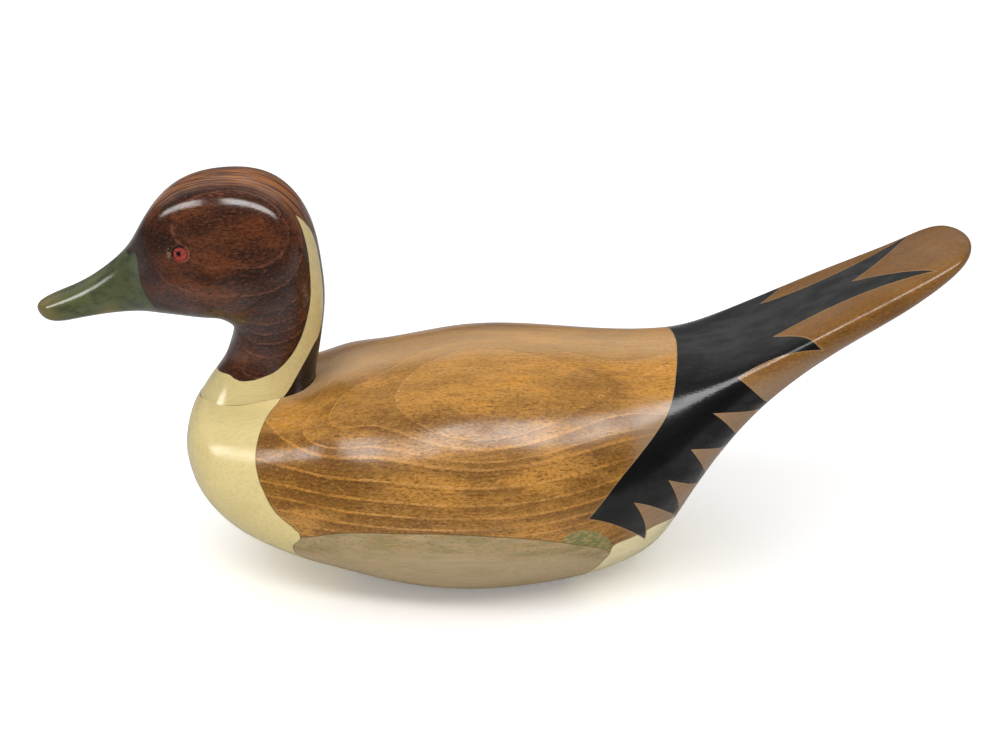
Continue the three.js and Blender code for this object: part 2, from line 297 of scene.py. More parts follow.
class Carving:
    """Hand tools for blocks: they act on one object at a time."""

    @staticmethod
    def clear_selection() -> None:
        """Leaves edit mode and deselects everything."""
        if bpy.context.object and bpy.context.object.mode != "OBJECT":
            bpy.ops.object.mode_set(mode="OBJECT")
        bpy.ops.object.select_all(action="DESELECT")

    @staticmethod
    def take_up(piece: Piece) -> None:
        """Selects one object alone and makes it active.

        Args:
            piece: The object.
        """
        Carving.clear_selection()
        piece.select_set(True)
        bpy.context.view_layer.objects.active = piece

    @staticmethod
    def open_up(piece: Piece) -> None:
        """Takes up one object and opens its whole mesh in edit mode.

        Args:
            piece: The object.
        """
        Carving.take_up(piece)
        bpy.ops.object.mode_set(mode="EDIT")
        bpy.ops.mesh.select_all(action="SELECT")

    @staticmethod
    def saw_level(piece: Piece, height: float, keep_above: bool) -> None:
        """Saws a piece through at a height and closes the cut.

        Args:
            piece: The piece.
            height: Height of the cut, in millimetres.
            keep_above: Whether the upper part is kept instead of the lower one.
        """
        Carving.open_up(piece)
        bpy.ops.mesh.bisect(
            plane_co=(0, 0, height * MM),
            plane_no=(0, 0, 1),
            use_fill=True,
            clear_inner=keep_above,
            clear_outer=not keep_above,
            threshold=SAW_SLACK * MM,
        )
        bpy.ops.object.mode_set(mode="OBJECT")

    @staticmethod
    def copy_of(piece: Piece, name: str) -> Piece:
        """Copies a piece with its mesh.

        Args:
            piece: The piece.
            name: Name of the copy.

        Returns:
            The copy.
        """
        copy = piece.copy()
        copy.data = piece.data.copy()
        copy.name = name
        bpy.context.scene.collection.objects.link(copy)
        return copy

    @staticmethod
    def blank_on_skin(name: str, skin: Skin, segments: int, rings: int, capped: bool) -> Piece:
        """Shapes a turned blank until it lies on a skin, and lays the paint map on it.

        Args:
            name: Name of the piece.
            skin: The surface to shape it to.
            segments: Faces round the blank.
            rings: Faces along the blank.
            capped: Whether the last rib is closed by a flat face instead of a round end.

        Returns:
            The shaped piece.
        """
        Carving.clear_selection()
        bpy.ops.mesh.primitive_uv_sphere_add(
            segments=segments, ring_count=rings, radius=HALF_LENGTH * MM, location=(0, 0, 0)
        )
        piece = bpy.context.object
        piece.name = name
        mesh = piece.data
        mesh.name = name
        co = np.zeros(len(mesh.vertices) * 3)
        mesh.vertices.foreach_get("co", co)
        co = co.reshape(-1, 3) / (HALF_LENGTH * MM)
        ring = np.round(np.arccos(np.clip(-co[:, 2], -1, 1)) / math.pi * rings)
        turns = np.arctan2(co[:, 1], co[:, 0])
        last = rings - 1 if capped else rings
        stations = np.minimum(ring, last) / last * skin.length
        placed = skin.points(stations, turns)
        if capped:
            placed[ring == rings] = placed[ring == last].mean(0)
        mesh.vertices.foreach_set("co", (placed * MM).ravel())
        Carving.lay_paint_map(mesh, stations, placed[:, 0], skin.girths(stations, turns), capped)
        mesh.update()
        return piece

    @staticmethod
    def fresh_map(mesh: bpy.types.Mesh, name: str) -> bpy.types.MeshUVLoopLayer:
        """Clears the maps of a mesh and adds a new one.

        Args:
            mesh: The mesh.
            name: Name of the new map.

        Returns:
            The new map.
        """
        while mesh.uv_layers:
            mesh.uv_layers.remove(mesh.uv_layers[0])
        return mesh.uv_layers.new(name=name)

    @staticmethod
    def lay_paint_map(
        mesh: bpy.types.Mesh, stations: np.ndarray, along: np.ndarray, girths: np.ndarray, by_station: bool
    ) -> None:
        """Writes the map that the painted edges follow: how far along, and how far round.

        Args:
            mesh: The mesh to write it on.
            stations: Station of each vertex, in millimetres.
            along: Place along the decoy of each vertex, in millimetres.
            girths: Distance round the rib of each vertex, in millimetres.
            by_station: Whether the first number is the station instead of the place along.
        """
        layer = Carving.fresh_map(mesh, PAINT_MAP)
        corner = np.zeros(len(mesh.loops), dtype=np.int32)
        mesh.loops.foreach_get("vertex_index", corner)
        first = stations if by_station else along
        pairs = np.column_stack([first[corner], girths[corner]]) * MM
        layer.uv.foreach_set("vector", pairs.astype(np.float32).ravel())

    @staticmethod
    def cut_away(piece: Piece, cutter: Piece) -> None:
        """Cuts one shape out of a piece and throws the cutter away.

        Args:
            piece: The piece to cut.
            cutter: The shape to take out of it.
        """
        Carving.take_up(piece)
        cut = piece.modifiers.new("cut", "BOOLEAN")
        cut.operation = "DIFFERENCE"
        cut.solver = "EXACT"
        cut.object = cutter
        bpy.ops.object.modifier_apply(modifier=cut.name)
        mesh = cutter.data
        bpy.data.objects.remove(cutter)
        bpy.data.meshes.remove(mesh)

    @staticmethod
    def sand(piece: Piece, crease: float) -> None:
        """Merges doubles, turns all faces outwards and smooths all but the real edges.

        Args:
            piece: The piece to finish.
            crease: Angle in degrees from which an edge stays sharp.
        """
        Carving.open_up(piece)
        bpy.ops.mesh.remove_doubles(threshold=WELD * MM)
        bpy.ops.mesh.normals_make_consistent(inside=False)
        bpy.ops.object.mode_set(mode="OBJECT")
        bpy.ops.object.shade_smooth_by_angle(angle=math.radians(crease))

    @staticmethod
    def hand_over(piece: Piece, material: bpy.types.Material, slot: str, node: str) -> None:
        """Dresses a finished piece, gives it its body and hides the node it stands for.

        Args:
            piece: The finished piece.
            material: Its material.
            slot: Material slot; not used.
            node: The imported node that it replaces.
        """
        piece.data.materials.clear()
        piece.data.materials.append(material)
        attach(piece, "root")
        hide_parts(node)
        LOG.info("%s: %d faces, stands for %s", piece.name, len(piece.data.polygons), node)


class Mottle(Enum):
    """The irregular patterns: size along, across and up in millimetres, detail and roughness."""

    BLOTCHES = ((38, 14, 14), 3, 0.55)
    STREAKS = ((16, 1.8, 1.8), 3, 0.6)
    DASHES = ((6, 0.7, 0.7), 2, 0.6)
    GRAINS = ((1.9, 0.85, 0.85), 2, 0.75)
    BROAD_DRIFT = ((26, 9, 9), 2, 0.5)
    CLOSE_DRIFT = ((5, 3, 3), 2, 0.5)
    STAIN_DRIFT = ((40, 16, 16), 2, 0.5)
    RUBBED_SPOTS = ((20, 11, 11), 3, 0.6)
    VARNISH_SKIN = ((1.5, 0.9, 0.9), 2, 0.6)
    THIN_COAT = ((30, 16, 16), 2, 0.5)
    COAT_THREADS = ((26, 0.8, 1.1), 3, 0.6)
    COAT_DUST = ((1.1, 0.7, 0.7), 1, 0.5)
    BROKEN_LINES = ((26, 7, 7), 3, 0.6)
    BROKEN_RINGS = ((9, 9, 9), 3, 0.6)
    BRUSH_MARKS = ((1.6, 0.9, 0.9), 2, 0.6)
    GREY_PATCHES = ((20, 4, 4), 3, 0.6)
    GREY_THREADS = ((18, 1.1, 1.1), 3, 0.65)
    GREY_GRAINS = ((2.2, 1.0, 1.0), 2, 0.75)
    GREEN_DABS = ((3.6, 1.5, 1.5), 3, 0.65)
    SCRATCHES = ((7, 1.6, 0.35), 3, 0.7)
    # Patches of the painted sheen on the top of the black saddle.
    SADDLE_DUST = ((3, 1.4, 1.4), 3, 0.7)
    CROWN_EDGE = ((22, 7, 7), 3, 0.55)
    CROWN_THREADS = ((24, 1.3, 1.0), 3, 0.6)
    BILL_CLOUDS = ((9, 5, 5), 4, 0.65)
    PUTTY_SPECKS = ((1.2, 1.2, 0.8), 2, 0.6)
    IRIS = ((1.0, 1.0, 1.0), 3, 0.6)


class PaintBench:
    """Sets out and joins the nodes of one material or one shader group."""

    MEASURES = ("LENGTH", "DISTANCE", "DOT_PRODUCT")

    def __init__(self, tree: Tree) -> None:
        """Takes up a node tree.

        Args:
            tree: The tree to work in.
        """
        self.tree = tree

    @classmethod
    def cleared(cls, owner: bpy.types.Material | bpy.types.World) -> "PaintBench":
        """Empties the nodes of a material or of the room.

        Args:
            owner: The material or the room.

        Returns:
            A bench on its nodes.
        """
        owner.use_nodes = True
        owner.node_tree.nodes.clear()
        return cls(owner.node_tree)

    def node(self, kind: str, **settings: object) -> bpy.types.Node:
        """Adds a node and sets its options.

        Args:
            kind: Blender's name for the node.
            settings: Options of the node.

        Returns:
            The node.
        """
        made = self.tree.nodes.new(kind)
        for name, value in settings.items():
            setattr(made, name, value)
        return made

    def feed(self, socket: Socket, value: Value) -> None:
        """Links an output to an input, or sets the input to a plain value.

        Args:
            socket: The input.
            value: An output or a plain value.
        """
        if isinstance(value, Socket):
            self.tree.links.new(value, socket)
        else:
            socket.default_value = value

    def maths(self, operation: str, first: Value, second: Value = 0.0, third: Value = 0.0) -> Socket:
        """Works out one sum.

        Args:
            operation: The kind of sum.
            first: First value.
            second: Second value.
            third: Third value, where the sum has one.

        Returns:
            The result.
        """
        made = self.node("ShaderNodeMath", operation=operation)
        for socket, value in zip(made.inputs, (first, second, third)):
            self.feed(socket, value)
        return made.outputs[0]

    def times(self, *values: Value) -> Socket:
        """Returns the product of several values."""
        return reduce(lambda first, second: self.maths("MULTIPLY", first, second), values)

    def less(self, first: Value, second: Value) -> Socket:
        """Returns the first value less the second."""
        return self.maths("SUBTRACT", first, second)

    def lowest(self, *values: Value) -> Socket:
        """Returns the lowest of several values."""
        return reduce(lambda first, second: self.maths("MINIMUM", first, second), values)

    def highest(self, *values: Value) -> Socket:
        """Returns the highest of several values."""
        return reduce(lambda first, second: self.maths("MAXIMUM", first, second), values)

    def vector(self, operation: str, first: Value, second: Value = (0, 0, 0)) -> Socket:
        """Works out one vector sum.

        Args:
            operation: The kind of sum.
            first: First vector.
            second: Second vector, or the factor of a scaling.

        Returns:
            The result.
        """
        made = self.node("ShaderNodeVectorMath", operation=operation)
        self.feed(made.inputs[0], first)
        self.feed(made.inputs["Scale"] if operation == "SCALE" else made.inputs[1], second)
        return made.outputs["Value" if operation in self.MEASURES else "Vector"]

    def distance(self, first: Value, second: Value) -> Socket:
        """Returns how far apart two places are."""
        return self.vector("DISTANCE", first, second)

    def in_mm(self, place: Value) -> Socket:
        """Returns a place in millimetres."""
        return self.vector("SCALE", place, PER_METRE)

    def split(self, vector: Value) -> tuple[Socket, ...]:
        """Splits a vector.

        Args:
            vector: The vector.

        Returns:
            Its three parts.
        """
        made = self.node("ShaderNodeSeparateXYZ")
        self.feed(made.inputs[0], vector)
        return tuple(made.outputs)

    def join(self, x: Value, y: Value, z: Value = 0.0) -> Socket:
        """Joins three numbers to a vector.

        Args:
            x: First part.
            y: Second part.
            z: Third part.

        Returns:
            The vector.
        """
        made = self.node("ShaderNodeCombineXYZ")
        for socket, value in zip(made.inputs, (x, y, z)):
            self.feed(socket, value)
        return made.outputs[0]

    def ease(self, value: Value, start: float, end: float, low: Value = 0.0, high: Value = 1.0) -> Socket:
        """Passes softly from one value to another.

        Args:
            value: What is measured.
            start: Where the change starts.
            end: Where the change ends.
            low: Result up to the start.
            high: Result from the end.

        Returns:
            The eased value.
        """
        made = self.node("ShaderNodeMapRange", interpolation_type="SMOOTHSTEP")
        for socket, given in zip(made.inputs, (value, start, end, low, high)):
            self.feed(socket, given)
        return made.outputs[0]

    def curve(self, value: Value, points: Sequence[Pair], straight: bool = False) -> Socket:
        """Reads a drawn curve.

        Args:
            value: Where the curve is read.
            points: The points of the curve, in order.
            straight: Whether it runs straight from point to point.

        Returns:
            The height of the curve there.
        """
        places = [p[0] for p in points]
        heights = [p[1] for p in points]
        base, reach = min(heights), max(heights) - min(heights)
        share = self.node("ShaderNodeMapRange", clamp=True)
        for socket, given in zip(share.inputs, (value, places[0], places[-1], 0.0, 1.0)):
            self.feed(socket, given)
        made = self.node("ShaderNodeFloatCurve")
        line = made.mapping.curves[0]
        shares = [((x - places[0]) / (places[-1] - places[0]), (y - base) / reach) for x, y in points]
        line.points[0].location = shares[0]
        line.points[1].location = shares[-1]
        for place in shares[1:-1]:
            line.points.new(*place)
        for point in line.points:
            point.handle_type = "VECTOR" if straight else "AUTO"
        made.mapping.update()
        self.feed(made.inputs["Value"], share.outputs[0])
        return self.maths("MULTIPLY_ADD", made.outputs[0], reach, base)

    def mix(self, share: Value, first: Value, second: Value) -> Socket:
        """Mixes two colours.

        Args:
            share: Share of the second colour.
            first: First colour.
            second: Second colour.

        Returns:
            The mixed colour.
        """
        made = self.node("ShaderNodeMix", data_type="RGBA")
        self.feed(made.inputs[0], share)
        self.feed(made.inputs[6], first)
        self.feed(made.inputs[7], second)
        return made.outputs[2]

    def coats(self, colour: Value, *coats: tuple[Value, Value]) -> Socket:
        """Returns a colour after several coats over it, each with its share and its own colour."""
        return reduce(lambda under, coat: self.mix(coat[0], under, coat[1]), coats, colour)

    def cloud(self, place: Value, mottle: Mottle) -> Socket:
        """Makes soft irregular patches.

        Args:
            place: Where on the piece, in millimetres.
            mottle: The pattern of the patches.

        Returns:
            A value that wanders round one half.
        """
        size, detail, roughness = mottle.value
        placed = self.node("ShaderNodeMapping", vector_type="POINT")
        self.feed(placed.inputs["Vector"], place)
        placed.inputs["Scale"].default_value = tuple(1 / s for s in size)
        made = self.node("ShaderNodeTexNoise", noise_dimensions="3D")
        self.feed(made.inputs["Vector"], placed.outputs[0])
        for name, value in (("Scale", 1.0), ("Detail", detail), ("Roughness", roughness)):
            made.inputs[name].default_value = value
        return made.outputs[0]

    def raised(self, height: Value, stands: float) -> Socket:
        """Turns a relief into the way that the surface faces.

        Args:
            height: Height of the relief, as a share.
            stands: How high it stands, in millimetres.

        Returns:
            The surface's normal.
        """
        bump = self.node("ShaderNodeBump")
        bump.inputs["Distance"].default_value = stands * MM
        self.feed(bump.inputs["Height"], height)
        return bump.outputs[0]

    def finish(self, shader: bpy.types.Node, output: str = "ShaderNodeOutputMaterial") -> None:
        """Joins a shader to the output of the material or of the room."""
        self.feed(self.node(output).inputs["Surface"], shader.outputs[0])

    def group(self, tree: Tree, **inputs: Value) -> Mapping[str, Socket]:
        """Places a shader group and fills its inputs.

        Args:
            tree: The group.
            inputs: Values by input name, with underscores for spaces.

        Returns:
            The group's outputs.
        """
        made = self.node("ShaderNodeGroup", node_tree=tree)
        for name, value in inputs.items():
            self.feed(made.inputs[name.replace("_", " ")], value)
        return made.outputs


class SocketKind(Enum):
    """What a group's socket carries."""

    NUMBER = "NodeSocketFloat"
    PLACE = "NodeSocketVector"
    COLOUR = "NodeSocketColor"


class FinishGroup:
    """A shader group with named inputs and outputs, built once for all the pieces."""

    def __init__(self, name: str, inputs: dict[SocketKind, str], outputs: dict[SocketKind, str]) -> None:
        """Opens a group.

        Args:
            name: Name of the group.
            inputs: Names of its inputs by kind, with commas between them.
            outputs: Names of its outputs by kind, with commas between them.
        """
        self.tree = bpy.data.node_groups.new(name, "ShaderNodeTree")
        for way, sockets in (("INPUT", inputs), ("OUTPUT", outputs)):
            for kind, labels in sockets.items():
                for label in labels.split(", "):
                    self.tree.interface.new_socket(name=label, in_out=way, socket_type=kind.value)
        self.bench = PaintBench(self.tree)
        self.given = self.bench.node("NodeGroupInput").outputs
        self.result = self.bench.node("NodeGroupOutput").inputs

    def give(self, name: str, value: Value) -> None:
        """Sends a value to one of the group's outputs."""
        self.bench.feed(self.result[name], value)


class SharedFinishes:
    """The effects that the body and the head have in common."""

    def __init__(self) -> None:
        """Builds each shared group once."""
        self.edge = self._painted_edge()
        self.feather = self._feather_point()
        self.lines = self._growth_lines()
        self.figure = self._figured_wood()
        self.varnish = self._rubbed_varnish()

    @staticmethod
    def _painted_edge() -> Tree:
        """Turns a distance into a painted area and its scribed line.

        Returns:
            The group.
        """
        number = SocketKind.NUMBER
        inputs = {number: "Distance, Softness, Line Offset, Line Width"}
        group = FinishGroup("painted_edge", inputs, {number: "Fill, Line"})
        bench, given = group.bench, group.given
        half = bench.times(given["Softness"], 0.5)
        low = bench.less(0.0, half)
        group.give("Fill", bench.ease(given["Distance"], low, half))
        off = bench.maths("ABSOLUTE", bench.less(given["Distance"], given["Line Offset"]))
        outer = bench.maths("ADD", given["Line Width"], given["Softness"])
        group.give("Line", bench.ease(off, given["Line Width"], outer, 1.0, 0.0))
        return group.tree

    @staticmethod
    def _feather_point() -> Tree:
        """Draws one feather point between two round knife cuts.

        Returns:
            The group.
        """
        number, place = SocketKind.NUMBER, SocketKind.PLACE
        inputs = {
            place: "Place, Lower Centre, Rear Centre, Reach Centre",
            number: "Lower Radius, Rear Radius, Reach Radius",
        }
        group = FinishGroup("feather_point", inputs, {number: "Distance"})
        bench, given = group.bench, group.given
        inside = []
        for label, sign in (("Lower", -1.0), ("Rear", 1.0), ("Reach", 1.0)):
            away = bench.distance(given["Place"], given[label + " Centre"])
            depth = bench.less(given[label + " Radius"], away)
            inside.append(bench.times(depth, sign))
        group.give("Distance", bench.lowest(*inside))
        return group.tree

    @staticmethod
    def _growth_lines() -> Tree:
        """Draws growth lines of an even width where layers meet the surface.

        Returns:
            The group.
        """
        number, place = SocketKind.NUMBER, SocketKind.PLACE
        inputs = {place: "Place, Steepest", number: "Count, Layers Per Mm, Width, Wander"}
        group = FinishGroup("growth_lines", inputs, {number: "Line, Fine Line, Tone, Ring"})
        bench, given = group.bench, group.given
        broad = bench.less(bench.cloud(given["Place"], Mottle.BROAD_DRIFT), 0.5)
        close = bench.less(bench.cloud(given["Place"], Mottle.CLOSE_DRIFT), 0.5)
        drift = bench.maths("MULTIPLY_ADD", close, 0.5, broad)
        count = bench.maths("MULTIPLY_ADD", drift, given["Wander"], given["Count"])
        group.give("Ring", count)
        normal = bench.node("ShaderNodeTexCoord").outputs["Normal"]
        across = bench.vector("DOT_PRODUCT", given["Steepest"], normal)
        buried = bench.vector("SCALE", normal, across)
        on_surface = bench.vector("SUBTRACT", given["Steepest"], buried)
        steep = bench.vector("LENGTH", on_surface)
        rate = bench.times(bench.highest(steep, 0.04), given["Layers Per Mm"])
        for label, parts, share in (("Line", 1.0, 1.0), ("Fine Line", 4.0, 0.8)):
            number_of = bench.times(count, parts)
            off = bench.maths("PINGPONG", number_of, 0.5)
            wide = bench.maths("DIVIDE", off, bench.times(rate, parts))
            limit = bench.times(given["Width"], share)
            group.give(label, bench.ease(wide, bench.times(limit, 0.25), limit, 1.0, 0.0))
        group.give("Tone", bench.maths("FRACT", count))
        return group.tree

    @staticmethod
    def _figured_wood() -> Tree:
        """Stains a figured block: blotches, streaks, pores and growth lines.

        Returns:
            The group.
        """
        number, place, colour = SocketKind.NUMBER, SocketKind.PLACE, SocketKind.COLOUR
        inputs = {
            place: "Place",
            colour: "Ground, Deep, Glow, Line Colour",
            number: "Line, Fine Line, Tone, Fleck",
        }
        group = FinishGroup("figured_wood", inputs, {colour: "Colour", number: "Height"})
        bench, given = group.bench, group.given
        where = given["Place"]
        deep, glow, pale = given["Deep"], given["Glow"], given["Line Colour"]
        patches = bench.cloud(where, Mottle.BLOTCHES)
        streaks = bench.cloud(where, Mottle.STREAKS)
        dashes = bench.cloud(where, Mottle.DASHES)
        grains = bench.cloud(where, Mottle.GRAINS)
        late = bench.times(bench.ease(given["Tone"], 0.15, 1.0), bench.ease(patches, 0.68, 0.4, 0.18, 0.58))
        pores = bench.times(bench.ease(grains, 0.5, 0.32), given["Fleck"])
        motes = bench.times(bench.ease(grains, 0.52, 0.7, 0.0, 0.6), given["Fleck"])
        mottled = bench.coats(
            given["Ground"],
            (bench.ease(patches, 0.46, 0.66), glow),
            (bench.ease(patches, 0.48, 0.3, 0.0, 0.34), deep),
            (bench.ease(streaks, 0.5, 0.32, 0.0, 0.25), deep),
            (bench.ease(streaks, 0.55, 0.75, 0.0, 0.3), glow),
            (late, deep),
            (bench.times(bench.ease(dashes, 0.44, 0.32), given["Fleck"]), deep),
            (pores, deep),
            (motes, pale),
            (bench.times(given["Fine Line"], 0.08), pale),
            (bench.times(given["Line"], bench.ease(grains, 0.36, 0.56, 0.35, 1.0)), pale),
        )
        group.give("Colour", mottled)
        group.give("Height", bench.less(bench.times(given["Line"], 0.5), pores))
        return group.tree

    @staticmethod
    def _rubbed_varnish() -> Tree:
        """Rubs the satin varnish by hand: its gloss, its skin and its rubbed spots.

        Returns:
            The group.
        """
        number, place = SocketKind.NUMBER, SocketKind.PLACE
        inputs = {place: "Place", number: "Gloss"}
        group = FinishGroup("rubbed_varnish", inputs, {number: "Roughness, Coat, Height"})
        bench, given = group.bench, group.given
        rubbed = bench.cloud(given["Place"], Mottle.RUBBED_SPOTS)
        skin = bench.cloud(given["Place"], Mottle.VARNISH_SKIN)
        dull = bench.less(1.0, given["Gloss"])
        base = bench.maths("MULTIPLY_ADD", dull, 0.4, 0.38)
        group.give("Roughness", bench.maths("MULTIPLY_ADD", rubbed, 0.2, base))
        group.give("Coat", bench.times(bench.ease(rubbed, 0.34, 0.62, 0.5, 1.0), given["Gloss"]))
        group.give("Height", skin)
        return group.tree


@dataclass(frozen=True)
class KnifeCut:
    """A round cut through three points of the paint map, in millimetres."""

    first: Pair
    middle: Pair
    last: Pair

    def circle(self) -> tuple[Pair, float]:
        """Finds the circle through the three points.

        Returns:
            Its centre and its radius.
        """
        (x1, y1), (x2, y2), (x3, y3) = self.first, self.middle, self.last
        size = 2 * (x1 * (y2 - y3) + x2 * (y3 - y1) + x3 * (y1 - y2))
        a, b, c = x1 * x1 + y1 * y1, x2 * x2 + y2 * y2, x3 * x3 + y3 * y3
        x = (a * (y2 - y3) + b * (y3 - y1) + c * (y1 - y2)) / size
        y = (a * (x3 - x2) + b * (x1 - x3) + c * (x2 - x1)) / size
        return (x, y), math.hypot(x1 - x, y1 - y)


@dataclass(frozen=True)
class FeatherPoint:
    """One black feather point: from the notch before it over its tip to the notch after it."""

    REACH_SLACK: ClassVar[float] = 1.06

    start: Pair
    lower: Pair
    tip: Pair
    rear: Pair
    notch: Pair

    def draw(self, bench: PaintBench, tree: Tree, place: Value) -> Socket:
        """Draws the point in a material.

        Args:
            bench: The bench of the material.
            tree: The shared feather group.
            place: The place on the paint map, in millimetres.

        Returns:
            The distance inside the point, in millimetres.
        """
        cuts = {
            "Lower": KnifeCut(self.start, self.lower, self.tip),
            "Rear": KnifeCut(self.notch, self.rear, self.tip),
            "Reach": KnifeCut(self.start, self.notch, self.tip),
        }
        inputs = {}
        for label, cut in cuts.items():
            centre, radius = cut.circle()
            inputs[label + "_Centre"] = (*centre, 0.0)
            inputs[label + "_Radius"] = radius
        inputs["Reach_Radius"] *= self.REACH_SLACK
        return bench.group(tree, Place=place, **inputs)["Distance"]


@dataclass(frozen=True)
class BodyPaint:
    """Where the plumage zones of the body meet: place along and distance round, in millimetres."""

    breast_edge: tuple[Pair, ...] = (
        (0, -104.5), (20.4, -106.0), (28.5, -109.0), (37.1, -111.6), (46.4, -113.6), (54.8, -114.2),
        (63.3, -112.9), (72.5, -109.7), (80.9, -106.0), (88.2, -100.7), (94.6, -95.6), (99.6, -93.3),
        (102.2, -95.3), (105.6, -97.6), (111.1, -97.3), (119.1, -93.0), (130, -88), (150, -80),
        (200, -70),
    )
    flank_edge: tuple[Pair, ...] = (
        (-93.3, 99.6), (-83.2, 101.5), (-62.7, 103.5), (-37.1, 108.1), (-7.0, 113.0), (10.1, 114.2),
        (24.2, 115.4), (34.5, 117.1), (44.7, 119.7), (51.4, 123.8), (56, 134),
    )
    flank_rear: tuple[Pair, ...] = (
        (110, 56), (127.7, 53.1), (134, 50.8), (146.9, 46.4), (155.7, 42.4), (200, 30),
    )
    vent_edge: tuple[Pair, ...] = (
        (50, 131), (53.1, 126.4), (55.4, 120.1), (63.9, 116.2), (70.6, 113.1), (77.1, 111.1),
        (84.9, 114.0), (100, 129.5), (106, 145),
    )
    black_front: tuple[Pair, ...] = (
        (0, 86.6), (16, 85.6), (30, 83.9), (42, 81.8), (49, 79.4), (57, 74.8), (69, 66.0),
        (81.5, 56.4), (94.8, 47.3), (102.1, 42.1), (125, 25),
    )
    green_centre: Pair = (41.0, 121.3)
    green_radius: float = 12.8
    past_ridge: float = -18.0
    feathers: tuple[FeatherPoint, ...] = (
        FeatherPoint((42.2, 102.0), (57.2, 106.6), (70.6, 120.5), (68.8, 103.6), (63.6, 93.1)),
        FeatherPoint((63.6, 93.1), (77.4, 99.3), (86.6, 122.0), (85.2, 95.0), (80.1, 82.4)),
        FeatherPoint((80.1, 82.4), (93.4, 92.3), (99.4, 111.0), (96.6, 80.0), (90.4, 68.2)),
        FeatherPoint((90.4, 68.2), (104.5, 75.2), (114.8, 91.5), (110.6, 67.0), (100.4, 52.9)),
        FeatherPoint((100.4, 52.9), (115.0, 58.6), (131.0, 70.5), (121.0, 51.8), (111.6, 39.9)),
        FeatherPoint((111.6, 39.9), (131.5, 37.4), (150.1, 42.4), (143.2, 33.2), (129.8, 20.6)),
        FeatherPoint((129.8, 20.6), (167.0, 16.4), (201.2, 24.6), (186.5, 10.8), (169.3, 0.0)),
    )

    def notch_chain(self) -> tuple[Pair, ...]:
        """Returns the line from notch to notch, inside which all is black."""
        notches = [self.feathers[0].start, *(feather.notch for feather in self.feathers)]
        return (*notches, (self.feathers[-1].tip[0], self.past_ridge))


@dataclass(frozen=True)
class GrowthLayers:
    """The growth layers of one block: a gently curved field and the heights of its lines.

    A line lies where the field has one of the heights, all in millimetres.
    """

    RATE_STEP: ClassVar[float] = 0.5
    LEAST_RATE: ClassVar[float] = 0.02

    slope: Triple
    bend: Triple
    twist_xy: float
    twist_xz: float
    centre: Triple
    wander: float
    heights: tuple[Pair, ...]

    def draw(self, bench: PaintBench, tree: Tree, place: Value, width: Value) -> Mapping[str, Socket]:
        """Draws the layers in a material.

        Args:
            bench: The bench of the material.
            tree: The shared group for growth lines.
            place: The place on the block, in millimetres.
            width: Half of a line's width, in millimetres.

        Returns:
            The growth lines, their tone and the number of the layer.
        """
        parts = bench.split(bench.vector("SUBTRACT", place, self.centre))
        steeps = []
        for part, bend, slope in zip(parts, self.bend, self.slope):
            steeps.append(bench.maths("MULTIPLY_ADD", part, 2 * bend, slope))
        for axis, other, twist in (
            (0, 1, self.twist_xy),
            (1, 0, self.twist_xy),
            (0, 2, self.twist_xz),
            (2, 0, self.twist_xz),
        ):
            steeps[axis] = bench.maths("MULTIPLY_ADD", parts[other], twist, steeps[axis])
        total = 0.0
        for part, steep, slope in zip(parts, steeps, self.slope):
            mean = bench.times(bench.maths("ADD", steep, slope), 0.5)
            total = bench.maths("MULTIPLY_ADD", part, mean, total)
        count = bench.curve(total, self.heights, straight=True)
        ahead = bench.curve(bench.maths("ADD", total, self.RATE_STEP), self.heights, straight=True)
        rate = bench.maths("ABSOLUTE", bench.times(bench.less(ahead, count), 1 / self.RATE_STEP))
        rate = bench.highest(rate, self.LEAST_RATE)
        return bench.group(
            tree,
            Place=place,
            Count=count,
            Layers_Per_Mm=rate,
            Steepest=bench.join(*steeps),
            Width=width,
            Wander=self.wander,
        )


BODY_LAYERS = GrowthLayers(
    slope=(-0.083, -0.19, 1.0),
    bend=(0.00068, 0.00455, 0.0),
    twist_xy=-0.00148,
    twist_xz=0.0,
    centre=(0.0, 0.0, 0.0),
    wander=0.1,
    heights=(
        (20, -17), (98.4, -1), (103.6, 0), (108.8, 1), (114.7, 2), (119.9, 3), (121.6, 4), (124.3, 5),
        (125.9, 6), (140, 6.9),
    ),
)

HEAD_LAYERS = GrowthLayers(
    slope=(-0.039, 1.0, -0.356),
    bend=(-0.00126, 0.0, 0.00174),
    twist_xy=0.0,
    twist_xz=-0.00053,
    centre=(-120.0, 0.0, 160.0),
    wander=0.24,
    heights=(
        (-60, 0.9), (-30.4, 0), (-24.3, -1), (-17.4, -2), (-12.8, -3), (-9.2, -4), (-5.9, -5),
        (-1.4, -6), (45, -14),
    ),
)


@dataclass(frozen=True)
class BodyStains:
    """Stains and paints of the body."""

    ground: Colour = stain(196, 142, 68)
    shaded: Colour = stain(134, 90, 36)
    deep: Colour = stain(100, 64, 26)
    glow: Colour = stain(212, 148, 62)
    line: Colour = stain(222, 168, 104)
    cream: Colour = stain(234, 214, 150)
    cream_grain: Colour = stain(206, 184, 124)
    vent: Colour = stain(252, 238, 190)
    grey: Colour = stain(198, 176, 140)
    grey_green: Colour = stain(160, 148, 106)
    tan_wash: Colour = stain(178, 150, 122)
    green: Colour = stain(122, 130, 80)
    green_light: Colour = stain(184, 164, 104)
    black: Colour = stain(14, 14, 14)
    # Grey of the rubbed scratches on the black, also used for its painted sheen and painted reflection.
    black_scratch_and_sheen: Colour = stain(60, 60, 58)
    scribed: Colour = stain(176, 138, 92)
    hairline: Colour = stain(92, 66, 34)


@dataclass(frozen=True)
class Wash:
    """A soft wash over a part of the body: a stain, a painted sheen or a painted shade.

    It comes in along the body and round it from the first to the second place of each pair, in
    millimetres.
    """

    along: Pair
    around: Pair
    share: float
    stain: Colour = BodyStains.shaded


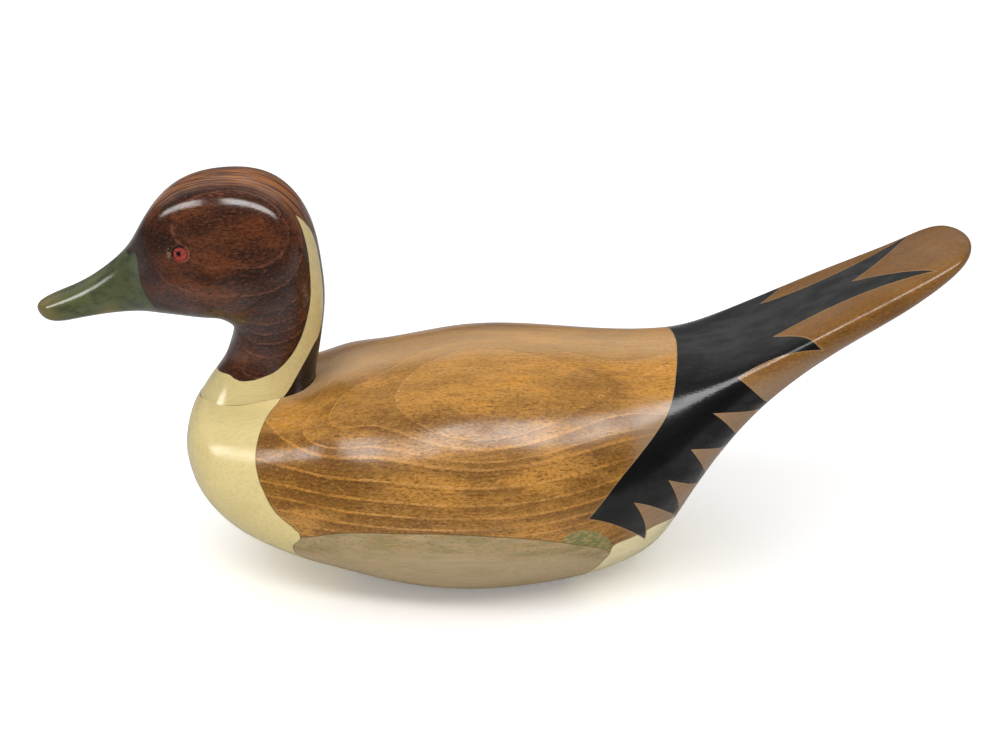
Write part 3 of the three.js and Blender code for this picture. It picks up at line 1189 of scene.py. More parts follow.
TAIL_TOP = Wash((92, 116), (40, 28), 0.35, stain(128, 90, 50))
# Painted sheen: the top of the back at the neck foot washed paler and greyer.
NECK_FOOT_SHEEN = Wash((-50, -74), (26, 8), 0.45, BodyStains.tan_wash)
# Painted sheen: the ridge of the back, forward of the tail, washed lighter and greyer.
BACK_RIDGE_SHEEN = Wash((96, 86), (23, 8), 0.48, stain(216, 176, 126))
REAR_SIDE = Wash((58, 70), (38, 54), 0.66, BodyStains.tan_wash)
# Painted shade: the lower rear flank darkened.
UNDER_TAIL_PAINTED_SHADE = Wash((26, 50), (46, 62), 0.22, BodyStains.deep)
BODY_WASHES = (TAIL_TOP, NECK_FOOT_SHEEN, BACK_RIDGE_SHEEN, REAR_SIDE, UNDER_TAIL_PAINTED_SHADE)

# Painted shade: the flank darkened towards the rear.
REAR_PAINTED_SHADE = Wash((-15, 50), (34, 60), 0.9)
BREAST_SHADE = Wash((-40, -74), (40, 50), 0.95)
RING_SHADE = Wash((0, 40), (22, 34), 0.5)


@dataclass(frozen=True)
class HeadStains:
    """Stains and paints of the head."""

    ground: Colour = stain(74, 42, 28)
    deep: Colour = stain(32, 20, 17)
    glow: Colour = stain(108, 58, 30)
    line: Colour = stain(132, 82, 60)
    crown: Colour = stain(190, 116, 54)
    # Near black of the back of the neck: partly its paint, partly painted shade.
    nape: Colour = stain(24, 15, 11)
    cream: Colour = stain(228, 210, 150)
    cream_grain: Colour = stain(204, 182, 122)
    bill: Colour = stain(92, 96, 62)
    bill_deep: Colour = stain(66, 74, 50)
    bill_amber: Colour = stain(138, 118, 66)
    putty: Colour = stain(180, 138, 96)


@dataclass(frozen=True)
class HeadPaint:
    """Where the zones of the head meet: station along the skin and distance round, in millimetres."""

    bill_edge: tuple[Pair, ...] = (
        (0, 57.5), (6.4, 58.9), (12.1, 62.1), (21.2, 69.0), (25.8, 68.8), (33.4, 69.3), (42.4, 71.4),
        (51.1, 74.5), (58.9, 76.1), (70, 76.8),
    )
    stripe_front: tuple[Pair, ...] = (
        (119, 8), (134.1, 11.0), (140.1, 13.3), (147.6, 14.3), (158.3, 14.9), (167.9, 16.7),
        (177.3, 19.0), (185.1, 23.2), (198, 40),
    )
    stripe_back: tuple[Pair, ...] = (
        (125, 19), (133.9, 11.6), (138.8, 6.7), (144.1, 3.4), (151, 2.8), (158, 3.0), (164.9, 3.5),
        (175.1, 3.9), (180.4, 5.5), (183.2, 9.0), (189.1, 13.0), (195.3, 16.6), (201.3, 20.5),
        (205.9, 25.1),
    )
    collar_edge: tuple[Pair, ...] = (
        (20, 191.0), (31.0, 191.2), (40.6, 192.3), (48.9, 190.3), (56.6, 187.1), (68.7, 187.0),
        (80, 187.0),
    )
    amber_centre: Pair = (43.0, 30.0)
    stripe_tip: float = 133.4
    collar_round: float = 7.0


@dataclass(frozen=True)
class Varnish:
    """A clear varnish: its roughness, its refractive index, and the haze and relief under it.

    The haze is how much the paint itself shines, and the relief is in millimetres.
    """

    sheen: float
    index: float
    haze: float
    relief: float


BODY_VARNISH = Varnish(sheen=0.15, index=1.44, haze=0.06, relief=0.026)
HEAD_VARNISH = Varnish(sheen=0.14, index=1.58, haze=0.03, relief=0.018)


class ZoneEdge(Enum):
    """How a zone ends: softness, and place and half width of its scribed line, in millimetres."""

    BREAST = (0.35, 0.0, 0.12)
    GREY = (0.35, 0.0, 0.1)
    VENT = (0.35, 0.0, 0.05)
    GREEN = (1.2, 0.0, 0.0)
    BLACK = (0.3, -0.25, 0.16)
    STRIPE = (0.4, 0.0, 0.1)
    BILL = (0.5, 0.0, 0.1)


class PaintedBlock:
    """What the body and the head have in common as painted blocks."""

    def __init__(self, name: str, finishes: SharedFinishes) -> None:
        """Opens the material of a block.

        Args:
            name: Name of the material.
            finishes: The shared effects.
        """
        self.material = bpy.data.materials.new(name)
        self.finishes = finishes
        bench = PaintBench.cleared(self.material)
        self.bench = bench
        thing = bench.node("ShaderNodeTexCoord").outputs["Object"]
        self.place = bench.in_mm(thing)
        chart = bench.node("ShaderNodeUVMap", uv_map=PAINT_MAP).outputs[0]
        self.chart = bench.in_mm(chart)
        self.along, self.round, _ = bench.split(self.chart)

    def edge(self, distance: Value, ending: ZoneEdge) -> Mapping[str, Socket]:
        """Paints a zone up to its edge and scribes the line along it.

        Args:
            distance: How deep a place lies inside the zone, in millimetres.
            ending: How the zone ends.

        Returns:
            The painted area and its line.
        """
        softness, offset, width = ending.value
        return self.bench.group(
            self.finishes.edge, Distance=distance, Softness=softness, Line_Offset=offset, Line_Width=width
        )

    def within(self, wash: Wash, around: Value) -> Socket:
        """Returns the share of a wash.

        Args:
            wash: The wash.
            around: Distance round the block at which it is read, in millimetres.

        Returns:
            The share of its stain.
        """
        share = self.bench.ease(self.along, *wash.along, 0.0, wash.share)
        return self.bench.times(share, self.bench.ease(around, *wash.around))

    def grained_paint(self, coat: Colour, grain: Colour, strength: float) -> Socket:
        """Brushes a thin coat through which the grain still shows.

        Args:
            coat: Colour of the coat.
            grain: Colour of the grain under it.
            strength: How clearly the grain shows.

        Returns:
            The colour.
        """
        bench = self.bench
        patches = bench.ease(bench.cloud(self.place, Mottle.THIN_COAT), 0.35, 0.7)
        threads = bench.ease(bench.cloud(self.place, Mottle.COAT_THREADS), 0.54, 0.34)
        dust = bench.ease(bench.cloud(self.place, Mottle.COAT_DUST), 0.36, 0.27)
        shares = (bench.times(patches, 0.6), threads, dust)
        return bench.coats(coat, *((bench.times(share, strength), grain) for share in shares))

    def close(self, colour: Value, gloss: Value, relief: Value, varnish_used: Varnish) -> None:
        """Varnishes the block and joins it to the material's surface.

        Args:
            colour: Colour of the finished paint.
            gloss: How much of the varnish is left, 0 to 1.
            relief: Height of the figure and the scribed lines.
            varnish_used: The block's varnish.
        """
        bench = self.bench
        varnish = bench.group(self.finishes.varnish, Place=self.place, Gloss=gloss)
        surface = bench.node("ShaderNodeBsdfPrincipled")
        surface.inputs["Specular IOR Level"].default_value = varnish_used.haze
        surface.inputs["Coat Roughness"].default_value = varnish_used.sheen
        surface.inputs["Coat IOR"].default_value = varnish_used.index
        bench.feed(surface.inputs["Base Color"], colour)
        bench.feed(surface.inputs["Roughness"], varnish["Roughness"])
        bench.feed(surface.inputs["Coat Weight"], varnish["Coat"])
        height = bench.maths("MULTIPLY_ADD", relief, 0.5, varnish["Height"])
        normal = bench.raised(height, varnish_used.relief)
        bench.feed(surface.inputs["Normal"], normal)
        bench.feed(surface.inputs["Coat Normal"], normal)
        bench.finish(surface)


class BodyFinish(PaintedBlock):
    """The body's stain, its plumage zones and its varnish."""

    def __init__(self, finishes: SharedFinishes, zones: BodyPaint, stains: BodyStains) -> None:
        """Paints the body.

        Args:
            finishes: The shared effects.
            zones: Where the zones meet.
            stains: The stains and paints.
        """
        super().__init__("painted_body_wood", finishes)
        bench = self.bench
        along, around = self.along, self.round
        width = bench.ease(around, 44, 64, 0.45, 1.0)
        lines = BODY_LAYERS.draw(bench, finishes.lines, self.place, width)
        off_tail = bench.ease(along, 90, 120, 1.0, 0.2)
        lower = bench.ease(around, 36, 60, 0.6, 1.0)
        broken = bench.ease(bench.cloud(self.place, Mottle.BROKEN_LINES), 0.3, 0.62, 0.25, 1.0)
        strength = bench.times(off_tail, bench.times(broken, bench.ease(around, 44, 60, 0.75, 0.85)))
        shade = self._shade(lines["Ring"])
        wood = bench.group(
            finishes.figure,
            Place=self.place,
            Ground=bench.mix(shade, stains.ground, stains.shaded),
            Deep=stains.deep,
            Glow=bench.mix(shade, stains.glow, bench.mix(off_tail, stains.shaded, stains.ground)),
            Line_Colour=bench.mix(shade, stains.line, stains.glow),
            Line=bench.times(lines["Line"], strength),
            Fine_Line=bench.times(lines["Fine Line"], off_tail),
            Tone=bench.times(lines["Tone"], bench.lowest(off_tail, lower)),
            Fleck=bench.times(lower, 0.75),
        )
        colour = wood["Colour"]

        breast_depth = bench.less(bench.curve(around, zones.breast_edge), along)
        breast = self.edge(breast_depth, ZoneEdge.BREAST)
        rear_depth = bench.less(bench.curve(around, zones.flank_rear), along)
        under_flank = bench.less(around, bench.curve(along, zones.flank_edge))
        behind_breast = bench.less(0.0, breast_depth)
        grey_depth = bench.lowest(under_flank, rear_depth, behind_breast)
        grey = self.edge(grey_depth, ZoneEdge.GREY)
        under_vent = bench.less(around, bench.curve(along, zones.vent_edge))
        behind_flank = bench.less(0.0, rear_depth)
        vent = self.edge(bench.lowest(under_vent, behind_flank), ZoneEdge.VENT)
        off_green = bench.distance(self.chart, (*zones.green_centre, 0.0))
        green_depth = bench.less(zones.green_radius, off_green)
        above_flank = bench.less(0.0, grey_depth)
        green = self.edge(bench.lowest(green_depth, above_flank), ZoneEdge.GREEN)
        black = self.edge(self._black_depth(zones), ZoneEdge.BLACK)

        # The washes: stains on the tail and the rear side, painted sheen at the neck foot and along the
        # back's ridge, and painted shade on the lower rear flank.
        colour = bench.coats(colour, *((self.within(wash, around), wash.stain) for wash in BODY_WASHES))
        colour = bench.mix(grey["Fill"], colour, self._grey_wash(stains, under_flank, colour))
        colour = bench.mix(green["Fill"], colour, self._green_dabs(stains, colour))
        edges = bench.highest(breast["Line"], grey["Line"])
        scribed = bench.times(black["Line"], 0.5)
        colour = bench.coats(
            colour,
            (breast["Fill"], self.grained_paint(stains.cream, stains.cream_grain, 0.35)),
            (vent["Fill"], self.grained_paint(stains.vent, stains.cream, 0.35)),
            (bench.times(edges, 0.7), stains.hairline),
            (scribed, stains.scribed),
            (black["Fill"], self._black_coat(stains)),
        )

        brushed = bench.times(bench.cloud(self.place, Mottle.BRUSH_MARKS), 2.4)
        brushed = bench.times(brushed, black["Fill"])
        relief = bench.less(bench.maths("ADD", wood["Height"], brushed), scribed)
        gloss = bench.maths("MULTIPLY_ADD", grey["Fill"], -0.5, 1.0)
        self.close(colour, gloss, relief, BODY_VARNISH)

    def _shade(self, ring: Value) -> Socket:
        """Returns how much darker the wood is painted: deeper stain on the flanks and on the tail, and
        painted shade behind, on the rear flank.

        Args:
            ring: Number of the growth layer; the stain is lightest inside the innermost one.

        Returns:
            The share of the deeper stain.
        """
        bench = self.bench
        drift = bench.cloud(self.place, Mottle.STAIN_DRIFT)
        moved = bench.maths("MULTIPLY_ADD", drift, 24.0, bench.less(self.round, 12.0))
        low = bench.ease(moved, 58, 74, 0.0, 0.3)
        flank = bench.less(bench.ease(moved, 42, 58, 0.0, 0.66), low)
        # The rear share is painted shade on the rear flank.
        washes = [self.within(wash, moved) for wash in (REAR_PAINTED_SHADE, BREAST_SHADE, RING_SHADE)]
        tail = bench.ease(self.along, 80, 110)
        outside = bench.times(bench.ease(ring, 6.2, 5.4), bench.ease(self.along, 70, 20))
        shoulder = bench.times(outside, bench.ease(self.along, -104, -84, 0.0, 0.5))
        return bench.highest(flank, tail, shoulder, *washes)

    def _black_depth(self, zones: BodyPaint) -> Socket:
        """Measures how deep a place lies inside the black saddle and its feather points.

        Args:
            zones: Where the zones meet.

        Returns:
            The depth, in millimetres.
        """
        bench = self.bench
        chain = bench.curve(self.along, zones.notch_chain(), straight=True)
        inside = [bench.less(chain, self.round)]
        for feather in zones.feathers:
            inside.append(feather.draw(bench, self.finishes.feather, self.chart))
        behind = bench.less(self.along, bench.curve(self.round, zones.black_front))
        return bench.lowest(behind, bench.highest(*inside))

    def _grey_wash(self, stains: BodyStains, depth: Value, wood: Value) -> Socket:
        """Washes the lower flank grey: greener and patchy at the top, plain below.

        Args:
            stains: The stains and paints.
            depth: Depth below the upper edge, in millimetres.
            wood: Colour of the wood under it.

        Returns:
            The colour.
        """
        bench = self.bench
        drift = bench.cloud(self.place, Mottle.BROAD_DRIFT)
        moved = bench.maths("MULTIPLY_ADD", drift, 9.0, bench.less(depth, 4.5))
        low = bench.ease(moved, 8, 16)
        patches = bench.ease(bench.cloud(self.place, Mottle.GREY_PATCHES), 0.34, 0.66, 0.0, 0.7)
        threads = bench.ease(bench.cloud(self.place, Mottle.GREY_THREADS), 0.52, 0.66)
        grains = bench.ease(bench.cloud(self.place, Mottle.GREY_GRAINS), 0.5, 0.3)
        return bench.coats(
            stains.grey_green,
            (patches, stains.grey),
            (bench.times(threads, 0.45), stains.line),
            (bench.times(grains, 0.5), stains.shaded),
            (low, self.grained_paint(stains.grey, stains.grey_green, 0.4)),
            (0.12, wood),
        )

    def _green_dabs(self, stains: BodyStains, wood: Value) -> Socket:
        """Dabs the green of the wing patch over the wood.

        Args:
            stains: The stains and paints.
            wood: Colour of the wood under it.

        Returns:
            The colour.
        """
        bench = self.bench
        dabs = bench.cloud(self.place, Mottle.GREEN_DABS)
        colour = bench.mix(bench.ease(dabs, 0.45, 0.6), stains.green, stains.green_light)
        return bench.mix(bench.ease(dabs, 0.56, 0.7, 0.15, 0.6), colour, wood)

    def _black_coat(self, stains: BodyStains) -> Socket:
        """Coats the saddle black, with fine rubbed scratches, painted sheen on its top and a painted
        reflection of the floor on its lower side.

        Args:
            stains: The stains and paints.

        Returns:
            The colour.
        """
        bench = self.bench
        scratches = bench.cloud(self.place, Mottle.SCRATCHES)
        share = bench.times(bench.ease(scratches, 0.62, 0.76), 0.35)
        # Painted sheen: lighter grey patches on the top of the black saddle.
        top_sheen = bench.ease(bench.cloud(self.place, Mottle.SADDLE_DUST), 0.35, 0.65, 0.08, 0.24)
        top_sheen = bench.times(top_sheen, bench.ease(self.round, 46, 34))
        # Painted reflection of the floor: the black lighter towards its lower side.
        low = bench.ease(self.round, 84, 104, 0.0, 0.2)
        return bench.mix(bench.highest(share, top_sheen, low), stains.black, stains.black_scratch_and_sheen)


class HeadFinish(PaintedBlock):
    """The head's stain, its neck stripe, its bill and its varnish."""

    def __init__(
        self, finishes: SharedFinishes, zones: HeadPaint, stains: HeadStains, eye_centre: Vector
    ) -> None:
        """Paints the head.

        Args:
            finishes: The shared effects.
            zones: Where the zones meet.
            stains: The stains and paints.
            eye_centre: Centre of the left eye, in millimetres.
        """
        super().__init__("painted_head_wood", finishes)
        bench = self.bench
        along, around = self.along, self.round
        lines = HEAD_LAYERS.draw(bench, finishes.lines, self.place, 0.8)
        on_neck = bench.ease(along, 70, 95, 0.35, 1.0)
        broken = bench.ease(bench.cloud(self.place, Mottle.BROKEN_RINGS), 0.34, 0.56)
        forward, _, height = bench.split(self.place)
        throat = bench.times(bench.ease(forward, -118, -127), bench.ease(height, 152, 142))
        off_throat = bench.less(1.0, throat)
        strength = bench.times(on_neck, broken, 0.6, off_throat)
        wood = bench.group(
            finishes.figure,
            Place=self.place,
            Ground=stains.ground,
            Deep=stains.deep,
            Glow=stains.glow,
            Line_Colour=stains.line,
            Line=bench.times(lines["Line"], strength),
            Fine_Line=0.0,
            Tone=bench.times(lines["Tone"], off_throat),
            Fleck=0.75,
        )
        # The back of the neck painted near black towards its foot: partly its dark paint, partly painted
        # shade.
        nape_round = bench.less(bench.curve(along, zones.stripe_front), around)
        nape = bench.times(bench.ease(nape_round, -4, 2), bench.ease(along, 132, 165))
        brown_round = bench.less(around, bench.curve(along, zones.stripe_front))
        brown_end = bench.less(bench.curve(around, zones.collar_edge), along)
        brown_depth = bench.maths("SMOOTH_MIN", brown_round, brown_end, zones.collar_round)
        past_nape = bench.less(around, bench.curve(along, zones.stripe_back))
        past_tip = bench.less(along, zones.stripe_tip)
        beyond = bench.less(0.0, brown_depth)
        stripe = self.edge(bench.lowest(beyond, past_nape, past_tip), ZoneEdge.STRIPE)
        bill_depth = bench.less(bench.curve(around, zones.bill_edge), along)
        bill = self.edge(bill_depth, ZoneEdge.BILL)

        seam_station = zones.stripe_back[-1][0]
        seam = bench.ease(along, seam_station - 1.0, seam_station - 0.4)
        rim, marks = self._putty_rim(eye_centre)
        colour = bench.coats(
            wood["Colour"],
            # Painted shade: the face darkened towards the bill.
            (bench.ease(along, 104, 72, 0.0, 0.5), stains.deep),
            (self._crown_share(), self._crown_grain(stains)),
            (nape, stains.nape),
            (stripe["Fill"], self.grained_paint(stains.cream, stains.cream_grain, 0.4)),
            (bill["Fill"], self._bill_paint(stains, zones.amber_centre)),
            (bench.times(bill["Line"], 0.5), stains.deep),
            (bench.times(seam, 0.55), stains.deep),
            (bench.times(rim, 0.85), stains.putty),
            (bench.times(marks, 0.7), stains.putty),
        )
        relief = bench.maths("MULTIPLY_ADD", rim, 2.5, wood["Height"])
        self.close(colour, 1.0, relief, HEAD_VARNISH)

    def _crown_share(self) -> Socket:
        """Rubs the crown down to the warmer wood.

        Returns:
            The share of the warmer wood.
        """
        bench = self.bench
        drift = bench.cloud(self.place, Mottle.CROWN_EDGE)
        over = bench.ease(bench.maths("MULTIPLY_ADD", drift, 14.0, self.round), 26, 14)
        return bench.times(over, bench.ease(self.along, 72, 88), bench.ease(self.along, 150, 118))

    def _crown_grain(self, stains: HeadStains) -> Socket:
        """Returns the colour of the crown with its long grain."""
        threads = self.bench.cloud(self.chart, Mottle.CROWN_THREADS)
        return self.bench.mix(self.bench.ease(threads, 0.42, 0.6), stains.ground, stains.crown)

    def _bill_paint(self, stains: HeadStains, amber_centre: Pair) -> Socket:
        """Paints the bill olive, with darker clouds, an amber patch and a lighter amber tip, partly its
        paint and partly a painted highlight.

        Args:
            stains: The stains and paints.
            amber_centre: Centre of the patch on the paint map, in millimetres.

        Returns:
            The colour.
        """
        bench = self.bench
        clouds = bench.cloud(self.place, Mottle.BILL_CLOUDS)
        patch = bench.distance(self.chart, (*amber_centre, 0.0))
        wander = bench.maths("MULTIPLY_ADD", clouds, 12.0, patch)
        return bench.coats(
            stains.bill,
            (bench.ease(clouds, 0.56, 0.36), stains.bill_deep),
            (bench.ease(self.along, 30, 62, 0.0, 0.45), stains.bill_deep),
            (bench.ease(wander, 17, 7, 0.0, 0.7), stains.bill_amber),
            # Lighter amber tip: partly its paint, partly a painted highlight.
            (bench.ease(self.along, 26, 6, 0.0, 0.65), stains.bill_amber),
        )

    def _putty_rim(self, eye_centre: Vector) -> tuple[Socket, Socket]:
        """Sets the putty round the eyes and the small tool marks in front of them.

        Args:
            eye_centre: Centre of the left eye, in millimetres.

        Returns:
            The rim and the marks.
        """
        bench = self.bench
        x, y, z = bench.split(self.place)
        side = bench.times(bench.maths("ABSOLUTE", y), -1.0)
        both = bench.join(x, side, z)
        from_eye = bench.vector("SUBTRACT", both, tuple(eye_centre))
        away = bench.vector("LENGTH", from_eye)
        ring = bench.times(bench.ease(away, 3.6, 3.9), bench.ease(away, 4.7, 4.2))
        fore, _, up = bench.split(from_eye)
        low = bench.less(bench.times(fore, 0.5), up)
        rim = bench.times(ring, bench.ease(low, -3.0, 1.5, 0.25, 1.0))
        specks = bench.ease(bench.cloud(self.place, Mottle.PUTTY_SPECKS), 0.52, 0.6)
        level = bench.ease(bench.maths("ABSOLUTE", up), 3.6, 1.6)
        marks = bench.lowest(bench.ease(away, 8.5, 5.0), bench.ease(fore, -2.5, -4.5), level)
        return rim, bench.times(marks, specks)


@dataclass
class CarvedBody:
    """The body block, from the breast to the tail tip."""

    segments: int = 216
    rings: int = 300
    recess_top: float = 16.0
    crease: float = 28.0
    skin: Skin = field(default_factory=lambda: Skin(BODY_RIBS, True))

    def build(self, head_blank: Piece) -> Piece:
        """Carves the body, planes its underside flat and lets in the foot of the neck.

        Args:
            head_blank: The head before its eyes are set.

        Returns:
            The carved body.
        """
        piece = Carving.blank_on_skin("carved_body", self.skin, self.segments, self.rings, False)
        Carving.saw_level(piece, 0.0, True)
        Carving.cut_away(piece, self._neck_cutter(head_blank))
        Carving.sand(piece, self.crease)
        self._keep_foot_edge(piece)
        return piece

    def _neck_cutter(self, head_blank: Piece) -> Piece:
        """Makes the cutter for the recess: the foot of the neck, grown by the glue gap.

        Args:
            head_blank: The head before its eyes are set.

        Returns:
            The cutter.
        """
        cutter = Carving.copy_of(head_blank, "neck_cutter")
        Carving.open_up(cutter)
        bpy.ops.mesh.normals_make_consistent(inside=False)
        bpy.ops.transform.shrink_fatten(value=GLUE_GAP * MM)
        Carving.saw_level(cutter, HEAD_RIBS[-1].outer[1] + self.recess_top, False)
        return cutter

    @staticmethod
    def _keep_foot_edge(piece: Piece) -> None:
        """Keeps the edge of the flat underside crisp.

        Args:
            piece: The body.
        """
        mesh = piece.data
        sharp = mesh.attributes.get("sharp_edge") or mesh.attributes.new("sharp_edge", "BOOLEAN", "EDGE")
        ground = [vertex.co.z < GROUND_SLACK * MM for vertex in mesh.vertices]
        for edge in mesh.edges:
            first, second = edge.vertices
            if ground[first] and ground[second]:
                sharp.data[edge.index].value = True


@dataclass
class CarvedHead:
    """The head block: bill, head and neck in one."""

    segments: int = 176
    rings: int = 256
    crease: float = 32.0
    skin: Skin = field(default_factory=lambda: Skin(HEAD_RIBS, False))

    def blank(self) -> Piece:
        """Returns the head shaped to its skin, before the eyes are set."""
        return Carving.blank_on_skin("carved_head", self.skin, self.segments, self.rings, True)

    def drill_sockets(self, piece: Piece, eyes: Sequence["SetEye"]) -> None:
        """Drills a socket for each eye and sands the head.

        Args:
            piece: The head.
            eyes: The eyes to be set.
        """
        for eye in eyes:
            Carving.cut_away(piece, eye.drill())
        Carving.sand(piece, self.crease)


class Side(Enum):
    """A side of the bird, by the sign of its direction along Y."""

    LEFT = -1
    RIGHT = 1


@dataclass
class SetEye:
    """A small round eye, set in a drilled socket."""

    side: Side
    skin: Skin
    rib_before: int = 6
    share_to_next: float = 0.31
    turn: float = math.radians(82.5)
    radius: float = 3.5
    depth: float = 2.7
    dome: float = 0.9
    dome_steps: int = 7
    dome_share: float = 0.97
    drill_proud: float = 4.0
    crease: float = 40.0
    probe: float = 0.05
    probe_turn: float = 0.0025
    facing: float = 0.99
    socket_radius: float = 3.7
    socket_depth: float = 3.0
    facets: int = 48

    def place(self) -> tuple[Vector, Vector]:
        """Finds the eye on the skin.

        Returns:
            Its centre, in millimetres, and its outward direction.
        """
        before, after = self.skin.stations[self.rib_before : self.rib_before + 2]
        station = before + (after - before) * self.share_to_next
        stations = station + self.probe * np.array([0, 1, -1, 0, 0])
        turns = self.turn + self.probe_turn * np.array([0, 0, 0, 1, -1])
        here, ahead, behind, further, nearer = self.skin.points(stations, turns)
        outward = Vector(np.cross(ahead - behind, further - nearer)).normalized()
        centre = Vector(here)
        if outward.y < 0:
            outward.negate()
        outward.y *= self.side.value
        centre.y *= self.side.value
        return centre, outward

    def _turned(self) -> Matrix:
        """Works out the eye's frame: level across, upwards and outwards.

        Returns:
            The frame.
        """
        _, outward = self.place()
        level = Vector((0, 0, 1)).cross(outward).normalized()
        upward = outward.cross(level).normalized()
        return Matrix((level, upward, outward)).transposed()

    def drill(self) -> Piece:
        """Returns the drill that cuts the eye's socket."""
        return self._turn_plug(self.socket_radius, self.drill_proud, self.socket_depth)

    def _turn_plug(self, radius: float, proud: float, depth: float) -> Piece:
        """Turns a plain round plug on the eye's axis.

        Args:
            radius: Its radius, in millimetres.
            proud: How far it stands out of the skin.
            depth: How far it reaches in.

        Returns:
            The plug.
        """
        centre, outward = self.place()
        Carving.clear_selection()
        bpy.ops.mesh.primitive_cylinder_add(
            vertices=self.facets,
            radius=radius * MM,
            depth=(proud + depth) * MM,
            location=(centre + outward * (proud - depth) / 2) * MM,
            rotation=self._turned().to_euler(),
        )
        bpy.ops.object.transform_apply(location=True, rotation=True, scale=True)
        return bpy.context.object

    def build(self) -> Piece:
        """Turns the eye: a short plug whose face is raised to a dome.

        Returns:
            The eye.
        """
        centre, outward = self.place()
        piece = self._turn_plug(self.radius, 0.0, self.depth)
        piece.name = "set_eye_" + self.side.name.lower()
        piece.data.name = piece.name
        self._raise_dome(piece, outward)
        self._lay_disc_map(piece, centre, self._turned())
        Carving.sand(piece, self.crease)
        return piece

    def _raise_dome(self, piece: Piece, outward: Vector) -> None:
        """Raises the face of the eye to a dome in steps.

        It works from the second eye on. For the first one edit mode opens with every face selected,
        so the whole plug grows and its face stays flat.

        Args:
            piece: The eye's plug.
            outward: Direction in which the eye looks.
        """
        for polygon in piece.data.polygons:
            polygon.select = polygon.normal.dot(outward) > self.facing
        bpy.ops.object.mode_set(mode="EDIT")
        bpy.ops.mesh.select_mode(type="FACE")
        last_inward, last_upward = 0.0, 0.0
        for i in range(1, self.dome_steps + 1):
            angle = i / self.dome_steps * math.pi / 2
            inward = self.radius * self.dome_share * (1 - math.cos(angle))
            upward = self.dome * math.sin(angle)
            bpy.ops.mesh.inset(
                thickness=(inward - last_inward) * MM,
                depth=(upward - last_upward) * MM,
                use_even_offset=False,
            )
            last_inward, last_upward = inward, upward
        bpy.ops.object.mode_set(mode="OBJECT")

    @staticmethod
    def _lay_disc_map(piece: Piece, centre: Vector, frame_of_eye: Matrix) -> None:
        """Writes the map that the iris follows: towards the bill, and upwards.

        Args:
            piece: The eye.
            centre: Centre of the eye, in millimetres.
            frame_of_eye: The eye's frame.
        """
        mesh = piece.data
        layer = Carving.fresh_map(mesh, DISC_MAP)
        level, upward, _ = frame_of_eye.transposed()
        forward = -1.0 if level.x > 0 else 1.0
        for loop in mesh.loops:
            away = mesh.vertices[loop.vertex_index].co - centre * MM
            layer.uv[loop.index].vector = (away.dot(level) * forward, away.dot(upward))


@dataclass(frozen=True)
class EyeStains:
    """Paints of the eye, where they meet and how high they stand, in millimetres."""

    iris: Colour = stain(142, 50, 42)
    iris_light: Colour = stain(170, 74, 62)
    # The dark joint to the socket, painted on the iris's edge; darker towards the bill and up as painted
    # shadow.
    gap: Colour = stain(40, 18, 15)
    pupil_edge: Colour = stain(86, 26, 22)
    pupil: Colour = stain(14, 10, 10)
    pupil_centre: Triple = (0.55, 0.1, 0.0)
    relief: float = 0.04
    pupil_rim: Pair = (1.9, 1.3)
    pupil_reach: Pair = (1.35, 1.1)
    gap_reach: Pair = (2.9, 3.2)


class EyeFinish:
    """The painted eye: a red iris with a small pupil that looks forward, and a dark ring at its edge,
    darkest towards the bill and up as painted shadow.
    """

    def __init__(self, stains: EyeStains) -> None:
        """Paints the eye.

        Args:
            stains: The paints and where they meet.
        """
        self.material = bpy.data.materials.new("painted_eye")
        bench = PaintBench.cleared(self.material)
        disc = bench.node("ShaderNodeUVMap", uv_map=DISC_MAP).outputs[0]
        disc = bench.in_mm(disc)
        thing = bench.in_mm(bench.node("ShaderNodeTexCoord").outputs["Object"])
        clouds = bench.cloud(thing, Mottle.IRIS)
        colour = bench.mix(bench.ease(clouds, 0.35, 0.65), stains.iris, stains.iris_light)
        toward_bill, upward, _ = bench.split(disc)
        # Painted shadow: the ring at the iris's edge darker towards the bill and up.
        socket_shadow = bench.ease(bench.maths("ADD", toward_bill, upward), -1.5, 2.5, 0.35, 1.0)
        away = bench.vector("LENGTH", disc)
        gap = bench.times(socket_shadow, bench.ease(away, *stains.gap_reach))
        wander = bench.maths("MULTIPLY_ADD", clouds, 0.5, bench.distance(disc, stains.pupil_centre))
        colour = bench.coats(
            colour,
            (gap, stains.gap),
            (bench.ease(wander, *stains.pupil_rim), stains.pupil_edge),
            (bench.ease(wander, *stains.pupil_reach), stains.pupil),
        )
        surface = bench.node("ShaderNodeBsdfPrincipled")
        bench.feed(surface.inputs["Base Color"], colour)
        bench.feed(surface.inputs["Roughness"], bench.maths("MULTIPLY_ADD", clouds, 0.12, 0.16))
        bench.feed(surface.inputs["Normal"], bench.raised(clouds, stains.relief))
        bench.finish(surface)


